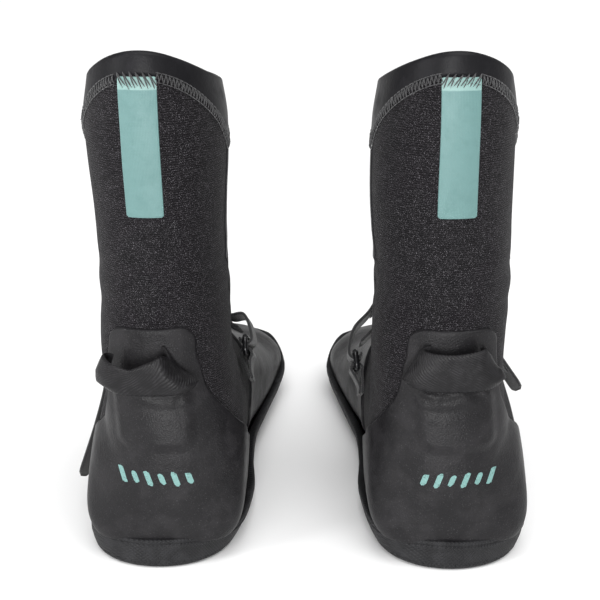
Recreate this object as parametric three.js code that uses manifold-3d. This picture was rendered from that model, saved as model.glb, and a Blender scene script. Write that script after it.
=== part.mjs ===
// A pair of neoprene surf boots: rubber foot, knit neoprene shaft, smooth cuff, arch strap and heel loop.
// Millimetres, +Z up. The toes point to -Y, so the wearer's left boot stands at +X.
// One boot is modelled with its heel at the origin and its outer side at +X. The right boot is the mirror of
// it, apart from how its strap, ring and heel loop lie.
import * as THREE from "three";
import { mergeVertices } from "three/addons/utils/BufferGeometryUtils.js";
import Module from "manifold-3d";

const wasm = await Module();
wasm.setup();

// ---- Driving dimensions ----

const PAIR_SPACING = 158; // heel centre to heel centre
const GAP = 0.3; // left between pieces that touch

const WALL = 4; // neoprene
const RUBBER = 1.7; // moulded shells over the neoprene
const SOLE_WALL = 3.6; // how far the outsole stands off the neoprene
const SOLE_SPLAY = 2; // the outsole's outline on the ground sits this much to the outer side
const HEEL_HALF = 43; // half width and rounding of the heel inside the outsole
const HEEL_ROUND = 44;
const HEEL_SQUARE = 2.35; // 2 is a true ellipse, more is boxier
const INSOLE = 3;

const FLOOR_SEAM = 15; // height of the seam between sole panel and uppers
const FLEX_LOW = 138; // the ankle band lies between these two heights
const FLEX_HIGH = 158;
const SIDE_SEAM = 51; // forward place of the shaft's side seams
const RIM_BACK = 274;
const RIM_SIDE = 250; // the rim dips here and rises again to the front
const RIM_FRONT = 255;
const BACK_SHIFT = 1; // stripe, tab, patch and loop sit this much to the outer side
const SEAM_BACK = 262; // cuff seam at the back, at the sides and at the front
const SEAM_SIDE = 219;
const SEAM_FRONT = 238;

const STRAP_WIDTH = 25;
const STRAP = 1.8;
const PILE = 0.9; // hook or loop tape

// ---- The foot's skin: rings from the toe, round the heel, up to the rim ----

// Each ring runs from a low point on the sole, heel or back seam to a high point on the toe, instep or shin.
// Points are [forward from the heel, up]. half is the half width, inward the shift to the inner side of the
// foot, belly how far from low to high the ring is widest, and square how boxy its low end is.
const RINGS = [
  { low: [269, 22], high: [268, 29], half: 13, inward: 9, belly: 0.5, square: 2.2 },
  { low: [263, 15], high: [262, 37], half: 30, inward: 8, belly: 0.46, square: 2.5 },
  { low: [251, 10], high: [249, 42], half: 40, inward: 7, belly: 0.42, square: 3 },
  { low: [228, 9], high: [226, 49], half: 47, inward: 6, belly: 0.4, square: 3.4 },
  { low: [196, 9], high: [198, 59], half: 47, inward: 2.5, belly: 0.38, square: 3.6 },
  { low: [160, 9], high: [165, 75], half: 44, inward: 0.5, belly: 0.38, square: 3.6 },
  { low: [122, 9], high: [138, 91], half: 40.5, inward: -1, belly: 0.4, square: 3.4 },
  { low: [80, 9], high: [120, 104], half: 40, inward: 0, belly: 0.3, square: 3.6 },
  { low: [38, 9], high: [108, 114], half: 42.5, inward: 0.5, belly: 0.22, square: 3.4 },
  { low: [3, 10.5], high: [102, 122], half: 43, inward: 0.5, belly: 0.22, square: 3 },
  { low: [0, 32], high: [98, 129], half: 40, inward: 2, belly: 0.3, square: 2.5 },
  { low: [0, 56], high: [95.5, 136], half: 35, inward: 3.5, belly: 0.4, square: 2.3 },
  { low: [3, 82], high: [94, 144], half: 34.5, inward: 2.5, belly: 0.44, square: 2.2 },
  { low: [7, 108], high: [93, 154], half: 34.8, inward: 1, belly: 0.48, square: 2.2 },
  { low: [9, 136], high: [93, 168], half: 34.5, inward: 0, belly: 0.5, square: 2.1 },
  { low: [8.5, 170], high: [94, 188], half: 34.5, inward: 0, belly: 0.5, square: 2.1 },
  { low: [6, 206], high: [95.5, 214], half: 35, inward: 0, belly: 0.5, square: 2.1 },
  { low: [4, 234], high: [96, 236], half: 35, inward: 0, belly: 0.5, square: 2.1 },
  { low: [4.5, 258], high: [95, 256], half: 32, inward: 0, belly: 0.5, square: 2.1 },
  { low: [8, 285], high: [91, 285], half: 26.5, inward: 0, belly: 0.5, square: 2.1 },
];
const RING_STEPS = 21;
const ROUND_STEPS = 22;
const TOE_POLE = new THREE.Vector3(-9, -270.5, 26);

const lowLine = new THREE.CatmullRomCurve3(RINGS.map((r) => new THREE.Vector3(0, ...r.low)));
const highLine = new THREE.CatmullRomCurve3(RINGS.map((r) => new THREE.Vector3(0, ...r.high)));
const widthLine = new THREE.CatmullRomCurve3(RINGS.map((r) => new THREE.Vector3(r.half, r.inward, 0)));
const shapeLine = new THREE.CatmullRomCurve3(RINGS.map((r) => new THREE.Vector3(r.belly, r.square, 0)));

// The ring at t, from 0 at the toe to 1 above the rim, as points that start at its low end and go out first.
function ring(t) {
  const low = lowLine.getPoint(t);
  const high = highLine.getPoint(t);
  const { x: half, y: inward } = widthLine.getPoint(t);
  const { x: belly, y: square } = shapeLine.getPoint(t);
  const points = [];
  for (let i = 0; i < ROUND_STEPS; i++) {
    const angle = (2 * Math.PI * i) / ROUND_STEPS;
    const power = 2 / (Math.cos(angle) > 0 ? square : 2.1);
    const across = Math.sign(Math.sin(angle)) * Math.abs(Math.sin(angle)) ** power;
    const along = Math.sign(Math.cos(angle)) * Math.abs(Math.cos(angle)) ** power;
    const share = belly - along * (along > 0 ? belly : 1 - belly);
    const p = low.clone().lerp(high, share);
    points.push(new THREE.Vector3(half * across - inward, -p.y, p.z));
  }
  return points;
}

const skinRings = Array.from({ length: RING_STEPS + 1 }, (_, k) => ring(k / RING_STEPS));

// The outward direction at point i of ring k.
function outward(k, i) {
  const [after, before] = [(i + 1) % ROUND_STEPS, (i + ROUND_STEPS - 1) % ROUND_STEPS];
  const around = skinRings[k][after].clone().sub(skinRings[k][before]);
  const next = skinRings[Math.min(k + 1, RING_STEPS)][i];
  const last = k > 0 ? skinRings[k - 1][i] : TOE_POLE;
  return next.clone().sub(last).cross(around).normalize();
}

// ---- Solids ----

// A closed solid through a row of rings, each with the same number of points.
// Both ends are closed with a fan, to the start and end point or to the middle of the ring.
function loft(rings, start, end) {
  const count = rings[0].length;
  const middle = (points) => {
    const sum = points.reduce((total, p) => total.add(p), new THREE.Vector3());
    return sum.divideScalar(points.length);
  };
  const vertices = [...rings.flat(), start ?? middle(rings[0]), end ?? middle(rings.at(-1))];
  const first = vertices.length - 2;
  const faces = [];
  for (let i = 0; i < count; i++) {
    const j = (i + 1) % count;
    faces.push(first, i, j);
    for (let k = 0; k + 1 < rings.length; k++) {
      const a = k * count;
      const b = a + count;
      faces.push(a + i, b + j, a + j, a + i, b + i, b + j);
    }
    const last = (rings.length - 1) * count;
    faces.push(first + 1, last + j, last + i);
  }
  return new THREE.BufferGeometry().setFromPoints(vertices).setIndex(faces);
}

// A geometry as a manifold-3d solid, so that it can be cut and joined.
function solid(geometry) {
  const bare = geometry.index ? geometry.toNonIndexed() : geometry;
  const positions = new THREE.BufferGeometry().setAttribute("position", bare.attributes.position);
  const merged = mergeVertices(positions, 1e-4);
  const made = new wasm.Manifold(
    new wasm.Mesh({
      numProp: 3,
      vertProperties: merged.attributes.position.array,
      triVerts: new Uint32Array(merged.index.array),
    }),
  );
  if (made.volume() <= 0) throw new Error("a solid is inside out");
  return made;
}

function geometryOf(made) {
  const { vertProperties, triVerts } = made.getMesh();
  return new THREE.BufferGeometry()
    .setAttribute("position", new THREE.BufferAttribute(vertProperties, 3))
    .setIndex(new THREE.BufferAttribute(triVerts, 1));
}

// The whole foot and shaft as one solid, its skin moved out by depth, which is negative for the inside.
function sock(depth) {
  const moved = (p, k, i) => p.clone().addScaledVector(outward(k, i), depth);
  const rings = skinRings.map((points, k) => points.map((p, i) => moved(p, k, i)));
  return solid(loft(rings, TOE_POLE.clone().add(new THREE.Vector3(0, -depth, 0))));
}

// The wall between two depths.
function layer(inner, outer) {
  return sock(outer).subtract(sock(inner));
}

const BIG = 400;

// Everything between two heights.
function between(low, high) {
  return solid(new THREE.BoxGeometry(BIG, 2 * BIG, high - low).translate(0, 0, (low + high) / 2));
}

// An outline in side view, of points [forward, up], cut through from side to side, or over |x| < half.
function sideCut(points, half = BIG) {
  const outline = new THREE.Shape(points.map(([forward, up]) => new THREE.Vector2(-forward, up)));
  const cut = new THREE.ExtrudeGeometry(outline, { depth: 2 * half, bevelEnabled: false });
  // The outline's x becomes Y and its y becomes Z.
  const sideView = new THREE.Matrix4().makeBasis(
    new THREE.Vector3(0, 1, 0),
    new THREE.Vector3(0, 0, 1),
    new THREE.Vector3(1, 0, 0),
  );
  return solid(cut.translate(0, 0, -half).applyMatrix4(sideView));
}

// A rounded rectangle seen from behind, cut through the back of the boot only.
function backCut(half, low, high, radius) {
  const outline = new THREE.Shape()
    .moveTo(-half, low + radius)
    .lineTo(-half, high - radius)
    .absarc(-half + radius, high - radius, radius, Math.PI, Math.PI / 2, true)
    .absarc(half - radius, high - radius, radius, Math.PI / 2, 0, true)
    .absarc(half - radius, low + radius, radius, 0, -Math.PI / 2, true)
    .absarc(-half + radius, low + radius, radius, -Math.PI / 2, -Math.PI, true);
  const cut = new THREE.ExtrudeGeometry(outline, { depth: 60, bevelEnabled: false, curveSegments: 5 });
  // Extruded along Z, then turned so that it runs along Y, from 35 in front of the heel to 25 behind it.
  return solid(cut.rotateX(Math.PI / 2).translate(BACK_SHIFT, 25, 0));
}

// Everything above a line round the shaft. Its height changes with the angle from the back, 0 to 180 degrees.
function above(heightAt) {
  const line = [];
  for (let angle = 0; angle <= 180; angle += 15) {
    line.push([51 - 47 * Math.cos(THREE.MathUtils.degToRad(angle)), heightAt(angle)]);
  }
  return sideCut([[-50, 320], [-50, heightAt(0)], ...line, [150, heightAt(180)], [150, 320]]);
}

// The rim stands highest at the back.
function rimHeight(fromBack) {
  const share = (1 + Math.cos(THREE.MathUtils.degToRad(fromBack))) / 2;
  return RIM_SIDE + (RIM_BACK - RIM_SIDE) * share ** 2.4 + (RIM_FRONT - RIM_SIDE) * (1 - share) ** 3;
}

// The cuff's seam is a dome over the back and over the front, and the two meet in a point at each side.
function seamHeight(fromBack) {
  const apex = fromBack < 90 ? SEAM_BACK : SEAM_FRONT;
  const share = Math.min(fromBack, 180 - fromBack) / 90;
  return SEAM_SIDE + (apex - SEAM_SIDE) * (1 - share ** 2);
}

// The outsole's upper edge: [forward, up], from behind the heel to in front of the toe.
const SOLE_EDGE = [
  [-30, 18],
  [60, 17],
  [130, 18],
  [200, 18],
  [235, 22],
  [262, 32],
  [290, 36],
];
// Its underside is flat and turns up a little under the toe.
const SOLE_UNDER = [
  [290, 14],
  [262, 6],
  [240, 1.5],
  [222, 0],
  [-30, 0],
];

// The heel shell's upper edge where it leaves the tab and falls forward along the side.
const HEEL_EDGE = new THREE.SplineCurve(
  [
    [13, 112],
    [15, 97],
    [21, 85],
    [31, 72],
    [45, 60],
    [62, 48],
    [90, 34],
    [118, 17],
  ].map(([forward, up]) => new THREE.Vector2(forward, up)),
);
const TAB_HALF = 22.5;
const TAB_TOP = 134;

// The front shell's rear edge, from the instep down to the sole.
const FRONT_EDGE = new THREE.SplineCurve(
  [
    [147, 120],
    [139, 88],
    [126, 66],
    [112, 45],
    [122, 19],
  ].map(([forward, up]) => new THREE.Vector2(forward, up)),
);

// The outsole's outline seen from above, at a height, drawn in at the sides and at the ends.
function planOutline(narrower, shorter, height) {
  const [wide, long] = [SOLE_WALL - narrower, SOLE_WALL - shorter];
  const splay = SOLE_SPLAY * Math.max(0, 1 - height / FLOOR_SEAM);
  const side = (sign) =>
    RINGS.slice(1, 9).map(({ low, high, half, inward }) => {
      const forward = 0.72 * low[0] + 0.28 * high[0];
      return new THREE.Vector3(sign * (half + wide) - inward + splay, -forward, height);
    });
  const heel = [150, 125, 100, 80, 55, 30].map((degrees) => {
    const angle = THREE.MathUtils.degToRad(degrees);
    const [across, along] = [Math.cos(angle), Math.sin(angle)];
    const x = (HEEL_HALF + wide) * Math.sign(across) * Math.abs(across) ** (2 / HEEL_SQUARE);
    const y = (HEEL_ROUND + long) * along ** (2 / HEEL_SQUARE);
    return new THREE.Vector3(x + splay, y - HEEL_ROUND, height);
  });
  const toe = new THREE.Vector3(TOE_POLE.x, TOE_POLE.y - long, height);
  const outline = new THREE.CatmullRomCurve3([toe, ...side(-1), ...heel, ...side(1).reverse()], true);
  return outline.getSpacedPoints(40).slice(0, -1);
}

function curvePoints(curve, count) {
  return curve.getPoints(count).map((p) => [p.x, p.y]);
}

// ---- The strap's own plane ----

// The strap goes over the instep in a plane that holds the X direction and leans back towards the heel.
// A place in that plane is (x, up the plane); the strap's width lies square to it.
const STRAP_ORIGIN = new THREE.Vector3(0, -70, 28);
const STRAP_LEAN = THREE.MathUtils.degToRad(30);
const strapUp = new THREE.Vector3(0, -Math.sin(STRAP_LEAN), Math.cos(STRAP_LEAN));
const strapSide = new THREE.Vector3(0, -Math.cos(STRAP_LEAN), -Math.sin(STRAP_LEAN));

function strapPlace(x, up) {
  return STRAP_ORIGIN.clone().addScaledVector(strapUp, up).setX(x);
}

// Where the skin, moved out by depth, passes through the strap's plane. i counts a ring's points.
function girthPoint(i, depth) {
  const line = skinRings.map((points, k) => points[i].clone().addScaledVector(outward(k, i), depth));
  const ahead = (p) => p.clone().sub(STRAP_ORIGIN).dot(strapSide);
  const k = line.findIndex((p) => ahead(p) <= 0);
  const share = ahead(line[k - 1]) / (ahead(line[k - 1]) - ahead(line[k]));
  return line[k - 1].clone().lerp(line[k], share);
}

function girth(from, to, depth) {
  const count = Math.abs(to - from) + 1;
  return Array.from({ length: count }, (_, n) => girthPoint(from + Math.sign(to - from) * n, depth));
}

// A flat band between two points of a path in the strap's plane, and between two distances outside that path.
function band(points, from, to, inner, outer, width) {
  const path = new THREE.CatmullRomCurve3(points);
  const steps = 2 * (to - from);
  const rings = [];
  for (let k = 0; k <= steps; k++) {
    const t = (from + k / 2) / (points.length - 1);
    const normal = path.getTangent(t).cross(strapSide).normalize();
    const corner = (distance, side) =>
      path.getPoint(t).addScaledVector(normal, distance).addScaledVector(strapSide, (side * width) / 2);
    rings.push([corner(inner, -1), corner(outer, -1), corner(outer, 1), corner(inner, 1)]);
  }
  return solid(loft(rings));
}

// ---- Pieces ----

function footPieces() {
  const wall = layer(-WALL, 0);
  const rubber = layer(GAP, GAP + RUBBER);
  const low = wall.intersect(between(-20, FLEX_LOW));
  const upper = low.intersect(between(FLOOR_SEAM + GAP / 2, BIG));
  const seamAt = (shift) => [
    [SIDE_SEAM + shift, 200],
    [SIDE_SEAM + shift, FLEX_LOW - 20],
    [116 + shift, FLOOR_SEAM],
    [116 + shift, -20],
  ];
  const rear = (shift) => sideCut([[-60, -20], [-60, 200], ...seamAt(shift)]);

  const belowEdge = (shift) => {
    const edge = SOLE_EDGE.map(([forward, up]) => [forward, up + shift]);
    return sideCut([...edge, ...SOLE_UNDER]);
  };
  // Each row is how much the outline is drawn in at the sides and at the ends, and its height.
  const flare = [[6.2, 2.6, 0], [3.4, 0.4, 1.5], [1.8, 0, 6], [0.6, 0, 12], [0, 0, 18], [0, 0, 60]];
  const block = solid(loft(flare.map((row) => planOutline(...row))));
  const outsole = block.intersect(belowEdge(0)).subtract(sock(GAP));

  const heelRegion = (shift) => {
    const edge = curvePoints(HEEL_EDGE, 14).map(([forward, up]) => [forward + shift, up]);
    return sideCut([[-60, 0], [-60, edge[0][1]], ...edge, [edge.at(-1)[0], 0]]).add(
      backCut(TAB_HALF + shift, 60, TAB_TOP + shift, 9),
    );
  };
  const heelShell = rubber.intersect(heelRegion(0)).subtract(belowEdge(GAP));

  const frontRegion = sideCut([...curvePoints(FRONT_EDGE, 12), [122, 0], [400, 0], [400, 200], [147, 200]]);
  const frontShell = rubber.intersect(frontRegion).subtract(belowEdge(GAP));

  const patchDepth = 2 * GAP + RUBBER;
  return {
    outsole,
    sole_panel: low.intersect(between(-20, FLOOR_SEAM - GAP / 2)),
    heel_panel: upper.intersect(rear(-GAP / 2)),
    vamp_panel: upper.subtract(rear(GAP / 2)),
    insole: sock(-WALL - GAP).intersect(between(-20, 9 + WALL + INSOLE)),
    heel_shell: heelShell,
    front_shell: frontShell,
    heel_patch: layer(patchDepth, patchDepth + 1).intersect(backCut(19.5, 70, 102, 7)),
  };
}

function shaftPieces() {
  const wall = layer(-WALL, 0).subtract(above((a) => seamHeight(a) - GAP / 2));
  const shaft = wall.intersect(between(FLEX_HIGH, BIG));
  const rear = (shift) => sideCut([[-60, 0], [-60, 400], [SIDE_SEAM + shift, 400], [SIDE_SEAM + shift, 0]]);
  const cuff = layer(0.5 - WALL, 0.7)
    .intersect(above((a) => seamHeight(a) + GAP / 2))
    .subtract(above(rimHeight));
  const stitching = layer(1, 1.8)
    .intersect(above((a) => seamHeight(a) - 2.6))
    .subtract(above((a) => seamHeight(a) + 2.2));
  const [tapeRear, tapeFront, tapeLow, tapeHigh] = [SIDE_SEAM - 4, SIDE_SEAM + 4, FLEX_HIGH + 1, 230];
  const tapeStrip = [[tapeRear, tapeLow], [tapeRear, tapeHigh], [tapeFront, tapeHigh], [tapeFront, tapeLow]];
  const tape = layer(GAP, GAP + 0.6)
    .intersect(sideCut(tapeStrip))
    .subtract(above((a) => seamHeight(a) - 3));
  const outerHalf = solid(new THREE.BoxGeometry(BIG, 2 * BIG, 2 * BIG).translate(BIG / 2, 0, 0));
  return {
    shaft_back_panel: shaft.intersect(rear(-GAP / 2)),
    shaft_front_panel: shaft.subtract(rear(GAP / 2)),
    cuff,
    cuff_stitching: stitching,
    outer_seam_tape: tape.intersect(outerHalf),
    inner_seam_tape: tape.subtract(outerHalf),
    back_stripe: layer(GAP, GAP + 0.5).intersect(backCut(9.2, 193, SEAM_BACK - 3.2, 0.5)),
  };
}

function anklePieces() {
  return { ankle_band: layer(-WALL, 0).intersect(between(FLEX_LOW + GAP, FLEX_HIGH - GAP)) };
}

// The heel loop: a tape that leaves the shell beside the patch, turns at each end and crosses behind the
// heel. It is widest a little above its lower edge. share is how far up the tape, half its half width there.
const LOOP_LEVELS = [
  { share: 0, half: 21 },
  { share: 0.25, half: 25.5 },
  { share: 1, half: 16 },
];
const LOOP_THICK = 1.6;

// One side of the loop seen from above. out is how far behind the heel's origin it crosses.
function loopPlan(half, out, sway) {
  const side = [
    [0.75 * half, -6],
    [half - 2, -5],
    [half, -2],
    [0.72 * half, out - 1.3],
  ];
  const across = [...side.map(([x, back]) => [-x, back]), [0, out], ...side.reverse()];
  return new THREE.CatmullRomCurve3(across.map(([x, back]) => new THREE.Vector3(x + sway, back, 0)));
}

// reach is how far out the loop's lower edge stands and lip its top edge. sway is how far the top leans to
// the boot's outer side.
function heelLoop({ reach, lip, sway, low, tall }) {
  const levels = LOOP_LEVELS.map(({ share, half }) => ({
    plan: loopPlan(half, reach + (lip - reach) * share, sway * share),
    up: low + tall * share,
  }));
  const rings = [];
  for (let k = 0; k <= 26; k++) {
    const at = ({ plan, up }, distance) => {
      const side = new THREE.Vector3(0, 0, 1).cross(plan.getTangentAt(k / 26)).normalize();
      return plan.getPointAt(k / 26).addScaledVector(side, distance).setZ(up);
    };
    const inner = levels.map((level) => at(level, -LOOP_THICK / 2));
    const outer = levels.map((level) => at(level, LOOP_THICK / 2));
    rings.push([...inner, ...outer.reverse()]);
  }
  return loft(rings);
}

// The ring hangs on the inner side. The strap comes over the instep, folds round its upper bar and goes back.
// bar is the upper bar's place in the strap's plane.
const ROD = 3.4;
const RING_LONG = 33.4; // along the strap's width
const RING_SHORT = 13;
const BORE = ROD * 0.72 + GAP; // clears the rod's corners
const FOLD = BORE + STRAP / 2;
const LIE = 3 * GAP + RUBBER + 0.4 + STRAP / 2; // the strap's middle, above the neoprene
const STACK = 2 * PILE + 3 * GAP + STRAP; // from the middle of one run to that of the other
const ARCH_START = 13.8; // the return run may arch off the foot between these places round it
const ARCH_END = 9;

function strapPieces({ bar, tail, leave, arch, hooks }) {
  const [barX, barUp] = bar;
  const base = [...girth(5, 13, LIE), strapPlace(barX + FOLD, barUp + 6)];
  const turn = [0, 45, 90, 135, 180].map((degrees) => {
    const angle = THREE.MathUtils.degToRad(degrees);
    return strapPlace(barX + FOLD * Math.cos(angle), barUp - FOLD * Math.sin(angle));
  });
  const over = [strapPlace(barX + 1, barUp + 14)];
  for (let i = 13; i >= leave; i--) {
    const rise = i > ARCH_END ? arch * Math.sin((Math.PI * (ARCH_START - i)) / (ARCH_START - ARCH_END)) : 0;
    over.push(girthPoint(i, LIE + STACK + rise));
  }
  // The return run's path starts at its loose end.
  const flap = [...turn, ...over, ...tail.map(([x, up]) => strapPlace(x, up))].reverse();
  const hookEnd = flap.length - turn.length - 2;
  const [pileNear, pileFar] = [STRAP / 2 + GAP, STRAP / 2 + GAP + PILE];
  return {
    strap_base: band(base, 0, base.length - 1, -STRAP / 2, STRAP / 2, STRAP_WIDTH).subtract(shells),
    strap_flap: band(flap, 0, flap.length - 1, -STRAP / 2, STRAP / 2, STRAP_WIDTH),
    hook_tape: band(flap, hooks, hookEnd, -pileFar, -pileNear, STRAP_WIDTH - 3),
    loop_tape: band(base, 4, 7, pileNear, pileFar, STRAP_WIDTH - 3),
  };
}

function strapRing([barX, barUp]) {
  const frame = (l, s, corner) =>
    new THREE.Shape()
      .moveTo(-l + corner, -s)
      .absarc(l - corner, -s + corner, corner, -Math.PI / 2, 0)
      .absarc(l - corner, s - corner, corner, 0, Math.PI / 2)
      .absarc(-l + corner, s - corner, corner, Math.PI / 2, Math.PI)
      .absarc(-l + corner, -s + corner, corner, Math.PI, 1.5 * Math.PI);
  const [long, short, corner] = [RING_LONG / 2, RING_SHORT / 2, 3.6];
  const outline = frame(long, short, corner);
  outline.holes.push(frame(long - ROD, short - ROD, corner - 2));
  const flat = new THREE.ExtrudeGeometry(outline, { depth: ROD, bevelEnabled: false, curveSegments: 3 });
  const pose = new THREE.Matrix4().makeBasis(strapSide, strapUp, strapSide.clone().cross(strapUp));
  pose.setPosition(strapPlace(barX, barUp - (RING_SHORT - ROD) / 2));
  return solid(flat.translate(0, 0, -ROD / 2).applyMatrix4(pose));
}

// The place on the inner side at a height up the strap's plane.
function innerPlace(up, depth) {
  const line = girth(13, 18, depth);
  const height = (p) => p.clone().sub(STRAP_ORIGIN).dot(strapUp);
  const k = line.findIndex((p) => height(p) <= up);
  const share = (height(line[k - 1]) - up) / (height(line[k - 1]) - height(line[k]));
  return line[k - 1].clone().lerp(line[k], share);
}

// The webbing that holds the ring: an eye round the lower bar on a short tail bonded to the inner side.
function ringAnchor([x, barUp]) {
  const [width, thick, length] = [20, 1.5, 15];
  const up = barUp - (RING_SHORT - ROD);
  const outline = new THREE.Shape().absarc(0, 0, BORE + thick, 0, 2 * Math.PI);
  outline.holes.push(new THREE.Path().absarc(0, 0, BORE, 0, 2 * Math.PI));
  const flat = new THREE.ExtrudeGeometry(outline, { depth: width, bevelEnabled: false, curveSegments: 7 });
  const across = new THREE.Vector3(1, 0, 0);
  const pose = new THREE.Matrix4().makeBasis(across, strapUp, across.clone().cross(strapUp));
  const eye = solid(flat.translate(0, 0, -width / 2).applyMatrix4(pose.setPosition(strapPlace(x, up))));
  const lie = 3 * GAP + RUBBER + 0.7 + thick / 2;
  const tail = [strapPlace(x + 1, up - BORE - thick / 2), innerPlace(up - length, lie)];
  return eye.add(band(tail, 0, 1, -thick / 2, thick / 2, width));
}

// The strap's fixed end is bonded under a rubber pad on the outer side.
function strapAnchor() {
  const lie = LIE + STRAP / 2 + GAP;
  return band(girth(4, 6, lie), 0, 2, 0, 1.4, STRAP_WIDTH + 5);
}

// ---- The pair ----

const COLOURS = {
  knit: [0x16161a, 0.95],
  smooth: [0x232326, 0.55],
  rubber: [0x242426, 0.5],
  sole: [0x202022, 0.7],
  stripe: [0x7fb8b2, 0.6],
  webbing: [0x121214, 0.9],
  plastic: [0x0e0e10, 0.3],
  foam: [0x2a2a2e, 0.95],
};
const FINISH = {
  outsole: "sole",
  sole_panel: "knit",
  heel_panel: "knit",
  vamp_panel: "knit",
  insole: "foam",
  heel_shell: "rubber",
  front_shell: "rubber",
  heel_patch: "rubber",
  ankle_band: "knit",
  shaft_back_panel: "knit",
  shaft_front_panel: "knit",
  cuff: "smooth",
  cuff_stitching: "webbing",
  outer_seam_tape: "smooth",
  inner_seam_tape: "smooth",
  back_stripe: "stripe",
  heel_loop: "rubber",
  strap_base: "webbing",
  strap_flap: "webbing",
  hook_tape: "webbing",
  loop_tape: "webbing",
  strap_ring: "plastic",
  ring_anchor: "webbing",
  strap_anchor: "rubber",
};
const materials = Object.fromEntries(
  Object.entries(COLOURS).map(([name, [color, roughness]]) => [
    name,
    new THREE.MeshStandardMaterial({ name, color, roughness, metalness: 0 }),
  ]),
);

const shared = { ...footPieces(), ...anklePieces(), ...shaftPieces() };

// What lies on the shells is trimmed to the space outside them.
const shells = sock(2 * GAP + RUBBER);

function boot(side, lie) {
  const pieces = {
    ...shared,
    heel_loop: solid(heelLoop(lie.loop)).subtract(shells),
    ...strapPieces(lie),
    strap_ring: strapRing(lie.bar),
    ring_anchor: ringAnchor(lie.bar).subtract(shells),
    strap_anchor: strapAnchor().subtract(between(-20, 22)).subtract(shells),
  };
  const group = new THREE.Group();
  for (const [name, made] of Object.entries(pieces)) {
    const mesh = new THREE.Mesh(geometryOf(made), materials[FINISH[name]]);
    mesh.name = `${side}_${name}`;
    group.add(mesh);
  }
  return group;
}

// How each boot's loop hangs, where its ring's upper bar is, where its strap's return run leaves the foot,
// how far that run arches, where the loose end then goes, and where along the run its hooks start.
const LEFT_LIE = {
  loop: { reach: 6, lip: 7, sway: 7, low: 105, tall: 18.5 },
  bar: [-39.5, 71],
  leave: 8,
  arch: 0,
  tail: [
    [43.8, 48],
    [45, 38],
    [49.4, 18],
    [58, -12],
  ],
  hooks: 4.5,
};
const RIGHT_LIE = {
  loop: { reach: 4, lip: 3, sway: 1, low: 107, tall: 20 },
  bar: [-44.5, 63],
  leave: 8,
  arch: 9,
  tail: [
    [41.5, 60],
    [53, 40],
  ],
  hooks: 0.5,
};

// Takes a boot to where it stands. lean is how far it tips to its outer side for each unit of height, turn
// the angle its toe turns in, and back how far it stands behind the other boot.
function standing(mirror, { lean, turn, back }) {
  const tip = new THREE.Matrix4().set(mirror, 0, mirror * lean, 0, 0, 1, 0, 0, 0, 0, 1, 0, 0, 0, 0, 1);
  const turned = new THREE.Matrix4().makeRotationZ(-mirror * THREE.MathUtils.degToRad(turn));
  const stand = new THREE.Matrix4().makeTranslation((mirror * PAIR_SPACING) / 2, back, 0);
  return stand.multiply(turned).multiply(tip);
}

const LEFT_STANCE = { lean: 0.003, turn: 1.7, back: 0 };
const RIGHT_STANCE = { lean: -0.04, turn: 2, back: 2 };

const pair = new THREE.Group();
for (const [side, mirror, lie, stance] of [
  ["left", 1, LEFT_LIE, LEFT_STANCE],
  ["right", -1, RIGHT_LIE, RIGHT_STANCE],
]) {
  const group = boot(side, lie);
  group.matrixAutoUpdate = false;
  group.matrix.copy(standing(mirror, stance));
  pair.add(group);
}

// The origin is the middle of the pair's box, on the ground.
pair.updateMatrixWorld(true);
const box = new THREE.Box3().setFromObject(pair, true);
const centre = box.getCenter(new THREE.Vector3());
pair.position.set(-centre.x, -centre.y, -box.min.z);

export default pair;
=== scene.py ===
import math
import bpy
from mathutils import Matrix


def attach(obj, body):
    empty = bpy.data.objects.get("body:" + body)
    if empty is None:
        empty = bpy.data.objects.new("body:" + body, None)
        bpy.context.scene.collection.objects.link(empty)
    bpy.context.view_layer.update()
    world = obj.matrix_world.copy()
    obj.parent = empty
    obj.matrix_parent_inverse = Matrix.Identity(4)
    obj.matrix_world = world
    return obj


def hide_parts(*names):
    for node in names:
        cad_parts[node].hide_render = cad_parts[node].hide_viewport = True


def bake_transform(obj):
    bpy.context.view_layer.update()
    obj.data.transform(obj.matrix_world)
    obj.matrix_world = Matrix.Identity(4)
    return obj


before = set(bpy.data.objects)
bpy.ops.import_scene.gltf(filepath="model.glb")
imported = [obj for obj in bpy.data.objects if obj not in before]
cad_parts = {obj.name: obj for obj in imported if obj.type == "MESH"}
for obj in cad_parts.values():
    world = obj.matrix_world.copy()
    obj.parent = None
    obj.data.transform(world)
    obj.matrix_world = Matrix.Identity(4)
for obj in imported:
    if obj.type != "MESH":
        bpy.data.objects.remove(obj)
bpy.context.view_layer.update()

# A pair of neoprene surf boots. Every soft piece is drawn from one skin, the surface of the foot and shaft,
# so the pieces follow each other's folds. Lengths are in millimetres until a mesh is made, and a boot is
# drawn with its heel at the origin, its toe towards -Y and its outer side at +X, then stood in its place.
from types import SimpleNamespace

import bpy
import numpy as np
from mathutils import Vector

# ---- Dimensions, as in the CAD ----

GAP = 0.3
WALL = 4.0
RUBBER = 1.7
SOLE_WALL = 3.6
HEEL_HALF, HEEL_ROUND, HEEL_SQUARE = 43.0, 44.0, 2.35
SOLE_FLARE = [(0, 5.6), (3, 3.4), (6, 1.8), (10, 0.2), (18, -1.2)]
SIDE_SEAM = 51.0
FLEX_LOW = 138.0
FLEX_HIGH = 158.0
RIM_BACK, RIM_SIDE, RIM_FRONT = 274.0, 250.0, 255.0
SEAM_BACK, SEAM_SIDE, SEAM_FRONT = 262.0, 219.0, 238.0
BACK_SHIFT = 1.0
TAB_HALF, TAB_TOP = 22.5, 134.0
STRAP_WIDTH, STRAP = 25.0, 1.8
PILE = 0.9
ROD, RING_LONG, RING_SHORT = 3.4, 33.4, 13.0
ARCH_START, ARCH_END = 13.8, 9
BORE = ROD * 0.72 + GAP
FOLD = BORE + STRAP / 2
LIE = 3 * GAP + RUBBER + 0.4 + STRAP / 2
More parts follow.
